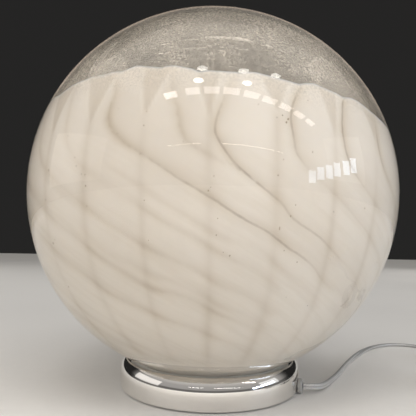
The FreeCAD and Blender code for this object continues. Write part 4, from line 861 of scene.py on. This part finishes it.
def white_glass():
    m = Build("white_layer_glass")
    side = m.attribute("fold_side")
    near = m.attribute("fold_near")
    power = m.attribute("fold_power")
    upper = m.attribute("fold_painted_shade")
    band = m.attribute("fold_band_painted_shade")
    rib = m.attribute("rib")
    pocket = m.attribute("pocket")
    petal_highlight = m.attribute("petal_line")
    wobble = m.maths("MULTIPLY", m.maths("SUBTRACT", m.noise(130.0, 2.0), 0.5), 0.35)
    off = m.maths("ABSOLUTE", m.maths("ADD", side, wobble))
    close = m.span(near, 0.6, 1.1, 1.0, 0.0)
    core = m.maths("MULTIPLY", m.maths("MULTIPLY", m.span(off, 0.06, 0.42, 1.0, 0.0, True), close), power)
    broken = m.span(m.noise(42.0, 3.0), 0.36, 0.58)
    core = m.maths("MULTIPLY", core, m.span(broken, 0.0, 1.0, 0.45, 1.0))
    cloud = m.noise(14.0, 4.0, 0.6, (1, 1, 0.6))
    fine = m.noise(240.0, 4.0, 0.65)
    smoke = m.span(m.noise(34.0, 4.0, 0.6, (1, 1, 0.7)), 0.30, 0.70)
    # silky streaks that follow the folds' sweep
    flow = m.node("ShaderNodeCombineXYZ")
    m.link(m.attribute("sweep"), flow.inputs[0])
    m.link(m.maths("MULTIPLY", m.attribute("sweep_along"), 0.10), flow.inputs[1])
    silk = m.node("ShaderNodeTexNoise")
    silk.inputs["Scale"].default_value = 0.26
    silk.inputs["Detail"].default_value = 5.0
    silk.inputs["Roughness"].default_value = 0.6
    m.link(flow.outputs[0], silk.inputs["Vector"])
    streak = m.maths("MULTIPLY", m.span(silk.outputs["Fac"], 0.46, 0.72, 0.0, 1.0), m.attribute("sweep_on"))
    body = WHITE_BODY
    dark, grey, line = (0.560, 0.485, 0.385), (0.585, 0.520, 0.440), (0.360, 0.300, 0.235)
    base = m.mix(m.span(cloud, 0.35, 0.68), body, (0.835, 0.792, 0.742))
    base = m.mix(m.span(fine, 0.35, 0.75, 0.0, 0.16), base, (0.86, 0.82, 0.76))
    # painted light: the layer is painted whiter towards the foot, lifting the lower globe that the lamps leave too
    # dark
    level = m.node("ShaderNodeSeparateXYZ")
    m.link(m.place(), level.inputs[0])
    base = m.mix(m.span(level.outputs["Z"], 0.035, 0.150, 0.85, 0.0, True), base, (0.905, 0.865, 0.815))
    base = m.mix(m.maths("MULTIPLY", streak, 0.20), base, dark)
    # painted shade: the recessed pockets between the petals' tops are darkened towards grey
    base = m.mix(m.maths("MULTIPLY", pocket, 0.42), base, grey)
    # painted shade: a soft grey on one side of each fold, as in the hollow the fold makes
    base = m.mix(m.maths("MULTIPLY", upper, 0.48, None, True), base, grey)
    # painted shade: soft dark bands along the folds' grooves
    soft = m.maths("MULTIPLY", band, m.span(smoke, 0.0, 1.0, 0.36, 0.60))
    base = m.mix(soft, base, dark)
    ribs = m.maths("MULTIPLY", rib, m.span(smoke, 0.0, 1.0, 0.36, 0.62))
    base = m.mix(ribs, base, grey)
    # painted shade: darker still where the fold bands cross the ribs
    cross = m.maths("MULTIPLY", m.maths("MULTIPLY", rib, band), 0.45, None, True)
    base = m.mix(cross, base, dark)
    # painted highlight: a pale thin line along the petals' raised edges
    base = m.mix(m.maths("MULTIPLY", petal_highlight, 0.22), base, (0.93, 0.90, 0.85))
    base = m.mix(m.maths("MULTIPLY", core, 0.70, None, True), base, line)
    # seeds and specks of dirt in the glass, most of them along the ribs
    spot = m.span(m.cells(150.0), 0.05, 0.10, 1.0, 0.0)
    rare = m.span(m.maths("ADD", m.noise(60.0, 1.0), m.maths("MULTIPLY", rib, 0.13)), 0.66, 0.70)
    base = m.mix(m.maths("MULTIPLY", m.maths("MULTIPLY", spot, rare), 0.50), base, (0.22, 0.18, 0.14))
    thin = m.span(m.attribute("from_edge"), 0.1, 1.3, 1.0, 0.0, True)
    base = m.mix(m.maths("MULTIPLY", thin, 0.40), base, (0.84, 0.83, 0.81))
    # painted shadow: a thin bluish-grey line at the layer's upper edge, standing for the shadow the edge casts; the
    # rim rows and the inner face take it in full
    lip = m.span(m.attribute("from_edge"), 0.0, 0.34, 1.0, 0.0, True)
    base = m.mix(m.maths("MULTIPLY", lip, 0.75), base, (0.44, 0.46, 0.50))
    p = m.principled(Base_Color=base, Roughness=m.span(fine, 0.3, 0.7, 0.34, 0.52))
    p.inputs["Specular IOR Level"].default_value = 0.12
    p.inputs["Subsurface Weight"].default_value = 0.10
    p.inputs["Subsurface Radius"].default_value = (0.005, 0.004, 0.003)
    p.inputs["Subsurface Scale"].default_value = 1.0
    return m.finish(p.outputs["BSDF"])


def clear_glass():
    m = Build("clear_layer_glass")
    glass = m.node("ShaderNodeBsdfGlass")
    glass.inputs["Color"].default_value = (0.985, 0.975, 0.955, 1.0)
    glass.inputs["Roughness"].default_value = 0.0
    glass.inputs["IOR"].default_value = 1.47
    ripple = m.noise(9.0, 2.0, 0.5)
    m.link(m.bump(ripple, 0.12, 0.0012), glass.inputs["Normal"])
    # a powdery film inside and out, above the white layer, with fine seeds
    sep = m.node("ShaderNodeSeparateXYZ")
    m.link(m.place(), sep.inputs[0])
    tilt = m.maths("ADD", sep.outputs["Z"], m.maths("MULTIPLY", sep.outputs["X"], 0.06))
    high = m.span(tilt, 0.225, 0.262, 0.0, 1.0, True)
    streak = m.span(m.noise(11.0, 5.0, 0.72), 0.36, 0.66)
    grain = m.span(m.noise(620.0, 1.0, 0.5), 0.40, 0.62)
    facing = m.node("ShaderNodeLayerWeight")
    facing.inputs["Blend"].default_value = 0.35
    edge = m.maths("MULTIPLY_ADD", facing.outputs["Facing"], -0.19, 0.242)
    dust = m.maths("MULTIPLY", m.maths("MULTIPLY_ADD", grain, 1.05, 0.42), m.maths("MULTIPLY_ADD", streak, 0.85, 0.42))
    dust = m.maths("MULTIPLY", m.maths("MULTIPLY", dust, edge), high, clamp=True)
    dust = m.maths("MULTIPLY", dust, m.span(sep.outputs["Z"], 0.272, 0.325, 1.45, 0.84, True))
    leaf = m.maths("MULTIPLY", m.span(m.attribute("leaf"), -0.15, 0.25, 0.0, 1.0, True), high)
    leaf_rim = m.maths("MULTIPLY", m.span(m.maths("ABSOLUTE", m.attribute("leaf")), 0.0, 0.60, 1.0, 0.0, True), high)
    dust = m.maths("ADD", dust, m.maths("ADD", m.maths("MULTIPLY", leaf, 0.10), m.maths("MULTIPLY", leaf_rim, 0.13)))
    ring = m.maths("MULTIPLY", m.span(m.attribute("ring_near"), 0.08, 0.48, 1.0, 0.0, True), high)
    dust = m.maths("ADD", dust, m.maths("MULTIPLY", ring, m.span(m.noise(45.0, 2.0), 0.32, 0.66, 0.16, 0.36)))
    seed = m.maths("MULTIPLY", m.span(m.cells(170.0), 0.05, 0.10, 0.8, 0.0), m.span(m.noise(50.0, 1.0), 0.50, 0.58))
    dust = m.maths("ADD", dust, m.maths("MULTIPLY", seed, high), clamp=True)
    # the film made thicker and warmer along the outline: a painted rim highlight
    grazing = m.node("ShaderNodeLayerWeight")
    grazing.inputs["Blend"].default_value = 0.5
    rim_highlight = m.maths("MULTIPLY", m.span(grazing.outputs["Facing"], 0.84, 0.91, 0.0, 1.0, True), high)
    dust = m.maths("ADD", dust, m.maths("MULTIPLY", rim_highlight, 0.24), clamp=True)
    film = m.node("ShaderNodeBsdfDiffuse")
    m.link(m.mix(rim_highlight, (0.82, 0.755, 0.66), (0.80, 0.66, 0.55)), film.inputs["Color"])
    dusty = m.node("ShaderNodeMixShader")
    m.link(dust, dusty.inputs[0])
    m.link(glass.outputs[0], dusty.inputs[1])
    m.link(film.outputs[0], dusty.inputs[2])
    # lamps reach what is behind the glass
    path = m.node("ShaderNodeLightPath")
    through = m.node("ShaderNodeBsdfTransparent")
    through.inputs["Color"].default_value = (0.96, 0.95, 0.93, 1.0)
    mix = m.node("ShaderNodeMixShader")
    m.link(path.outputs["Is Shadow Ray"], mix.inputs[0])
    m.link(dusty.outputs[0], mix.inputs[1])
    m.link(through.outputs[0], mix.inputs[2])
    return m.finish(mix.outputs[0])


def bulb_clear():
    m = Build("bulb_envelope")
    glass = m.node("ShaderNodeBsdfGlass")
    glass.inputs["Color"].default_value = (0.98, 0.98, 0.97, 1.0)
    glass.inputs["Roughness"].default_value = 0.0
    glass.inputs["IOR"].default_value = 1.45
    m.link(m.bump(m.noise(30.0, 2.0), 0.1, 0.0006), glass.inputs["Normal"])
    path = m.node("ShaderNodeLightPath")
    through = m.node("ShaderNodeBsdfTransparent")
    mix = m.node("ShaderNodeMixShader")
    m.link(path.outputs["Is Shadow Ray"], mix.inputs[0])
    m.link(glass.outputs[0], mix.inputs[1])
    m.link(through.outputs[0], mix.inputs[2])
    return m.finish(mix.outputs[0])


def chrome():
    m = Build("polished_chrome")
    smear = m.noise(22.0, 4.0, 0.6)
    scratch = m.noise(420.0, 3.0, 0.7, (1, 1, 9))
    colour = m.mix(m.span(smear, 0.35, 0.7), (0.885, 0.865, 0.835), (0.83, 0.81, 0.78))
    rough = m.maths("ADD", m.span(smear, 0.35, 0.75, 0.025, 0.085), m.span(scratch, 0.5, 0.8, 0.0, 0.05))
    p = m.principled(Base_Color=colour, Roughness=rough, Metallic=1.0, Normal=m.bump(m.noise(35.0, 2.0), 0.10, 0.0006))
    return m.finish(p.outputs["BSDF"])


def cord_skin():
    m = Build("cord_clear_over_silver")
    along, around, across = m.attribute("along"), m.attribute("around"), m.attribute("across")
    phase = m.maths("ADD", m.maths("MULTIPLY", along, 2600.0), m.maths("MULTIPLY", around, 3.0))
    strand = m.span(m.maths("SINE", phase), -1.0, 1.0)
    blotch = m.noise(60.0, 3.0)
    silver = m.mix(m.maths("MULTIPLY", strand, 0.55), (0.44, 0.44, 0.445), (0.74, 0.74, 0.735))
    silver = m.mix(m.span(blotch, 0.35, 0.7, 0.0, 0.35), silver, (0.56, 0.54, 0.50))
    # painted shade: the groove between the two cores is darkened almost to black
    groove_shade = m.span(m.maths("ABSOLUTE", across), 0.0, 0.16, 1.0, 0.0, True)
    silver = m.mix(m.maths("MULTIPLY", groove_shade, 0.7), silver, (0.12, 0.12, 0.125))
    p = m.principled(
        Base_Color=silver, Roughness=m.span(blotch, 0.3, 0.7, 0.28, 0.40), Metallic=0.25,
        Normal=m.bump(strand, 0.25, 0.0001),
    )
    p.inputs["Coat Weight"].default_value = 0.85
    p.inputs["Coat Roughness"].default_value = 0.12
    return m.finish(p.outputs["BSDF"])


def inner_cord_skin():
    return worn("cord_inside", (0.34, 0.34, 0.345), (0.50, 0.50, 0.50), (0.25, 0.4), 0.15, 60, 700, 0.0001, 0.2, 0.7, 0.15)


def felt():
    m = Build("pressed_felt")
    fibre = m.noise(1500.0, 5.0, 0.75, (1, 1, 1), 1.5)
    lump = m.noise(140.0, 3.0)
    colour = m.mix(m.span(fibre, 0.3, 0.7), (0.030, 0.034, 0.032), (0.085, 0.090, 0.085))
    colour = m.mix(m.span(lump, 0.4, 0.7, 0.0, 0.4), colour, (0.05, 0.052, 0.05))
    p = m.principled(Base_Color=colour, Roughness=0.95, Normal=m.bump(fibre, 0.7, 0.0004))
    p.inputs["Sheen Weight"].default_value = 0.4
    return m.finish(p.outputs["BSDF"])


def cast():
    m = Build("painted_iron")
    pits, broad = m.noise(520.0, 5.0, 0.7), m.noise(70.0, 3.0)
    colour = m.mix(m.span(broad, 0.35, 0.7), (0.055, 0.055, 0.058), (0.095, 0.093, 0.09))
    colour = m.mix(m.span(pits, 0.62, 0.75, 0.0, 0.5), colour, (0.16, 0.11, 0.08))
    p = m.principled(Base_Color=colour, Roughness=m.span(pits, 0.3, 0.7, 0.45, 0.7), Metallic=0.3,
                     Normal=m.bump(pits, 0.6, 0.0005))
    return m.finish(p.outputs["BSDF"])


def strap():
    m = Build("hook_and_loop_strap")
    loops = m.noise(1800.0, 4.0, 0.8)
    rows = m.noise(300.0, 2.0, 0.5, (1, 1, 6))
    colour = m.mix(m.span(loops, 0.35, 0.7), (0.018, 0.018, 0.020), (0.065, 0.065, 0.070))
    p = m.principled(Base_Color=colour, Roughness=0.9, Normal=m.bump(m.maths("ADD", loops, m.maths("MULTIPLY", rows, 0.5)), 0.8, 0.0004))
    p.inputs["Sheen Weight"].default_value = 0.3
    return m.finish(p.outputs["BSDF"])


ZINC = worn("zinc_plate", (0.60, 0.60, 0.58), (0.74, 0.74, 0.73), (0.28, 0.46), 1.0, 45, 500, 0.0001, 0.2, stretch=(1, 6, 1))
STEEL = worn("plated_screw", (0.62, 0.62, 0.60), (0.76, 0.76, 0.74), (0.22, 0.38), 1.0, 200, 1400, 0.00005, 0.2)
BRASS = worn("drawn_brass", (0.70, 0.52, 0.24), (0.82, 0.64, 0.34), (0.20, 0.38), 1.0, 90, 900, 0.00005, 0.2, stretch=(1, 1, 5))
HOLDER = worn("holder_moulding", (0.80, 0.78, 0.72), (0.86, 0.84, 0.79), (0.38, 0.52), 0.0, 50, 1100, 0.00006, 0.25, sub=0.05)
CERAMIC = worn("glazed_ceramic", (0.82, 0.80, 0.76), (0.90, 0.89, 0.86), (0.12, 0.25), 0.0, 80, 600, 0.0001, 0.15, 0.5, 0.05, specks=((0.45, 0.4, 0.33), 420.0, 0.35))
CAP_METAL = worn("bulb_cap_metal", (0.72, 0.72, 0.70), (0.82, 0.82, 0.80), (0.18, 0.34), 1.0, 120, 900, 0.00005, 0.2, stretch=(1, 1, 4))
BLACK_GLASS = worn("black_insulator", (0.012, 0.012, 0.014), (0.03, 0.03, 0.032), (0.1, 0.22), 0.0, 120, 900, 0.00008, 0.2, 0.5, 0.05)
WIRE = worn("bare_wire", (0.35, 0.34, 0.33), (0.5, 0.49, 0.47), (0.3, 0.45), 1.0, 300, 2500, 0.00003, 0.2)
GROMMET = worn("grommet_moulding", (0.33, 0.325, 0.315), (0.42, 0.415, 0.40), (0.22, 0.36), 0.0, 90, 1200, 0.00005, 0.2, 0.6, 0.1, sub=0.1)
GASKET = worn("seat_gasket_rubber", (0.58, 0.57, 0.53), (0.70, 0.69, 0.65), (0.5, 0.7), 0.0, 70, 1000, 0.0001, 0.3)
SWITCH = worn("switch_moulding", (0.60, 0.60, 0.59), (0.67, 0.67, 0.66), (0.34, 0.48), 0.0, 60, 2200, 0.00008, 0.45, 0.15, 0.3)
ROCKER = worn("rocker_moulding", (0.50, 0.50, 0.49), (0.58, 0.58, 0.57), (0.22, 0.34), 0.0, 60, 1600, 0.00004, 0.3, 0.3, 0.15)
PLUG = worn("plug_moulding", (0.46, 0.46, 0.455), (0.54, 0.54, 0.53), (0.42, 0.56), 0.0, 60, 2000, 0.0001, 0.5)
SLEEVE = worn("pin_sleeve_moulding", (0.02, 0.02, 0.022), (0.045, 0.045, 0.048), (0.35, 0.5), 0.0, 90, 1500, 0.00005, 0.3)
BLUE = worn("blue_core_skin", (0.05, 0.12, 0.42), (0.09, 0.19, 0.55), (0.3, 0.42), 0.0, 120, 1200, 0.00005, 0.2)
BROWN = worn("brown_core_skin", (0.13, 0.055, 0.025), (0.21, 0.10, 0.05), (0.3, 0.42), 0.0, 120, 1200, 0.00005, 0.2)
SEED = worn("seed_in_glass", (0.40, 0.33, 0.25), (0.56, 0.48, 0.39), (0.3, 0.5), 0.0, 400, 2600, 0.00002, 0.2)
CHROME, CORD, FELT, IRON, TIE = chrome(), cord_skin(), felt(), cast(), strap()
BULB, INNER, CLEAR, WHITE = bulb_clear(), inner_cord_skin(), clear_glass(), white_glass()

FINISH = {
    "base_shell": CHROME, "seat_gasket": GASKET, "felt_pad": FELT, "bottom_plate": ZINC, "ballast_ring": IRON,
    "shell_tabs": ZINC, "shell_screws": STEEL, "ballast_screws": STEEL, "holder_bridge": ZINC, "bridge_screws": STEEL,
    "threaded_nipple": BRASS, "nipple_nuts": BRASS, "nipple_washers": STEEL, "holder_cap": HOLDER, "holder_sleeve": HOLDER,
    "holder_insert": CERAMIC, "holder_screw_shell": BRASS, "holder_contact": BRASS, "holder_terminals": BRASS,
    "holder_terminal_screws": STEEL, "bulb_contact": CAP_METAL, "bulb_insulator": BLACK_GLASS, "bulb_cap": CAP_METAL,
    "bulb_glass": BULB, "bulb_stem": BULB, "bulb_filament": WIRE, "bulb_lead_wires": WIRE, "cord_grommet": GROMMET,
    "cord_clamp": HOLDER, "clamp_screws": STEEL, "inner_cord": INNER, "holder_core_blue": BLUE, "holder_core_brown": BROWN,
    "switch_lower_shell": SWITCH, "switch_upper_shell": SWITCH, "switch_rocker": ROCKER, "switch_rocker_pin": STEEL,
    "switch_plunger": HOLDER, "switch_seesaw_contact": BRASS, "switch_contact_post": BRASS, "switch_terminals": BRASS,
    "switch_terminal_screws": STEEL, "switch_screws": STEEL, "switch_cord_ends": INNER, "switch_neutral_core": BLUE,
    "switch_line_core": BROWN, "plug_body": PLUG, "plug_pins": BRASS, "plug_pin_sleeves": SLEEVE,
}


def paint(obj, material):
    if not obj.data.materials:
        obj.data.materials.append(material)
    for i in range(len(obj.data.materials)):
        obj.data.materials[i] = material
    for slot in obj.material_slots:
        slot.material = material


for node_name, material in FINISH.items():
    paint(NODES[node_name], material)
for obj, material in ((cord_a, CORD), (cord_b, CORD), (tie, TIE), (white, WHITE), (clear, CLEAR), (seeds, SEED)):
    paint(obj, material)

# ------------------------------------------------------------------ stage and light
floor = mesh_piece(
    "floor",
    [(-6, -6, -0.0002), (6, -6, -0.0002), (6, 6, -0.0002), (-6, 6, -0.0002)],
    [(0, 1, 2, 3)], smooth=False,
)
paint(floor, worn("pale_floor", (0.79, 0.775, 0.75), (0.82, 0.805, 0.78), (0.45, 0.6), 0.0, 3.0, 120.0, 0.0002, 0.1))

world = bpy.data.worlds.new("studio")
SCENE.world = world
world.use_nodes = True
wt = world.node_tree
back = wt.nodes["Background"]
way = wt.nodes.new("ShaderNodeTexCoord")
split = wt.nodes.new("ShaderNodeSeparateXYZ")
wt.links.new(way.outputs["Generated"], split.inputs[0])
ramp = wt.nodes.new("ShaderNodeValToRGB")
ramp.color_ramp.elements[0].position = 0.0
ramp.color_ramp.elements[0].color = (0.26, 0.25, 0.24, 1)
ramp.color_ramp.elements[1].position = 0.75
ramp.color_ramp.elements[1].color = (0.62, 0.60, 0.57, 1)
for place, grey in ((0.07, 0.16), (0.13, 0.11), (0.21, 0.36), (0.45, 0.38)):
    mid = ramp.color_ramp.elements.new(place)
    mid.color = (grey, grey * 0.97, grey * 0.94, 1)
wt.links.new(split.outputs["Z"], ramp.inputs[0])
behind = wt.nodes.new("ShaderNodeMapRange")
behind.interpolation_type = "SMOOTHSTEP"
behind.inputs[1].default_value = 0.05
behind.inputs[2].default_value = 0.45
wt.links.new(split.outputs["Y"], behind.inputs[0])
join = wt.nodes.new("ShaderNodeMix")
join.data_type = "RGBA"
join.inputs[7].default_value = (0.019, 0.0185, 0.018, 1)
wt.links.new(behind.outputs[0], join.inputs["Factor"])
wt.links.new(ramp.outputs["Color"], join.inputs[6])
wt.links.new(join.outputs[2], back.inputs["Color"])
back.inputs["Strength"].default_value = 1.0


def soft_light(name, at, to, size, power, colour=(1, 1, 1), seen=False, round_shape=False, spread=180.0):
    data = bpy.data.lights.new(name, "AREA")
    data.shape = "ELLIPSE" if round_shape else "RECTANGLE"
    data.size, data.size_y = size
    data.energy = power
    data.color = colour
    data.spread = math.radians(spread)
    obj = bpy.data.objects.new(name, data)
    SCENE.collection.objects.link(obj)
    at, to = Vector(at), Vector(to)
    obj.location = at
    obj.rotation_euler = (to - at).to_track_quat("-Z", "Y").to_euler()
    obj.visible_glossy = seen
    obj.visible_transmission = seen
    return obj


MIDDLE = (0.0, 0.0, 0.18)
K = 0.64
soft_light("key", (-2.2, -1.5, 1.0), MIDDLE, (2.0, 1.6), 17 * K, (1.0, 0.985, 0.965))
soft_light("fill", (2.4, -1.3, 0.9), MIDDLE, (1.6, 1.6), 11 * K, (0.90, 0.95, 1.0))
soft_light("low", (0.0, -2.7, 0.40), MIDDLE, (2.6, 0.6), 9 * K, (1.0, 0.985, 0.955))
soft_light("floor_level", (0.0, -2.3, 0.16), (0.0, 0.0, 0.10), (2.4, 0.24), 7 * K, (1.0, 0.97, 0.93))
soft_light("front_floor", (0.0, -0.66, 1.0), (0.0, -0.6601, 0.0), (1.6, 0.6), 4.6, (1.0, 0.96, 0.90), spread=66.0)
soft_light("top", (0.0, -0.2, 2.4), MIDDLE, (1.6, 1.6), 7 * K, (1.0, 0.985, 0.96))
soft_light("back_left", (-2.3, 1.0, 1.0), MIDDLE, (1.4, 1.6), 26 * K, (1.0, 0.98, 0.95))
soft_light("back_right", (2.0, 1.9, 1.2), MIDDLE, (1.4, 1.6), 20 * K, (1.0, 0.98, 0.95))


def small_light(name, at, size, level, colour, round_shape=False, to=MIDDLE):
    area = size[0] * size[1]
    soft_light(name, at, to, size, level * math.pi * area, colour, True, round_shape)


# broad dim sheets on either side, for the polished rim and the glass's edges
small_light("left_sheet", (-2.6, -0.35, 0.80), (2.0, 0.95), 0.62, (1.0, 0.965, 0.93))
small_light("right_sheet", (2.6, -0.55, 0.85), (1.3, 0.90), 0.55, (0.95, 0.97, 1.0))
# a row of small panels overhead, a second row further off, a slanting row of panes
# far to the right, and round lamps
PANELS = (-0.96, -0.45, -0.04, 0.38, 0.83, 1.30, 1.80, 2.33, 2.90)
for i, x in enumerate(PANELS):
    wide = 0.30 if i == 0 else 0.29 + 0.018 * i
    small_light("panel_%d" % i, (x, -1.70, 2.2), (wide, 0.25), 5.0 if i else 9.0, (1.0, 0.96, 0.965), False, (x, -1.6999, 0.0))
for i, x in enumerate((-1.20, -0.96, -0.71, -0.44, 0.33, 0.57, 0.83, 1.10, 1.40, 1.73, 2.09)):
    small_light("strip_%d" % i, (x, -2.78, 1.2), (0.17 + 0.012 * i, 0.06), 6.5, (1.0, 0.98, 0.97), False, (x, -2.7799, 0.0))
for i, at in enumerate((
    (2.13, -1.55, 0.42), (2.25, -1.34, 0.50), (2.36, -1.11, 0.55), (2.44, -0.88, 0.61), (2.50, -0.59, 0.66), (2.53, -0.34, 0.71),
)):
    small_light("pane_%d" % i, at, (0.20, 0.27), 6.0, (0.66, 0.80, 1.0))
for i, at in enumerate(((-0.29, -1.36, 2.2), (0.64, -1.34, 2.2), (-0.20, -1.0, 2.2), (0.50, -0.99, 2.2), (1.08, -0.82, 2.2))):
    small_light("lamp_%d" % i, at, (0.20, 0.13), 14.0 if i < 2 else 7.0, (1.0, 0.99, 0.96), True)

SCENE.view_settings.view_transform = "Standard"

# ------------------------------------------------------------------ cord lengths and finish
print("cord to switch", round(float(np.linalg.norm(np.diff(lamp_line, axis=0), axis=1).sum()), 4), "cord to plug", round(tail_long, 4))
bpy.context.view_layer.update()
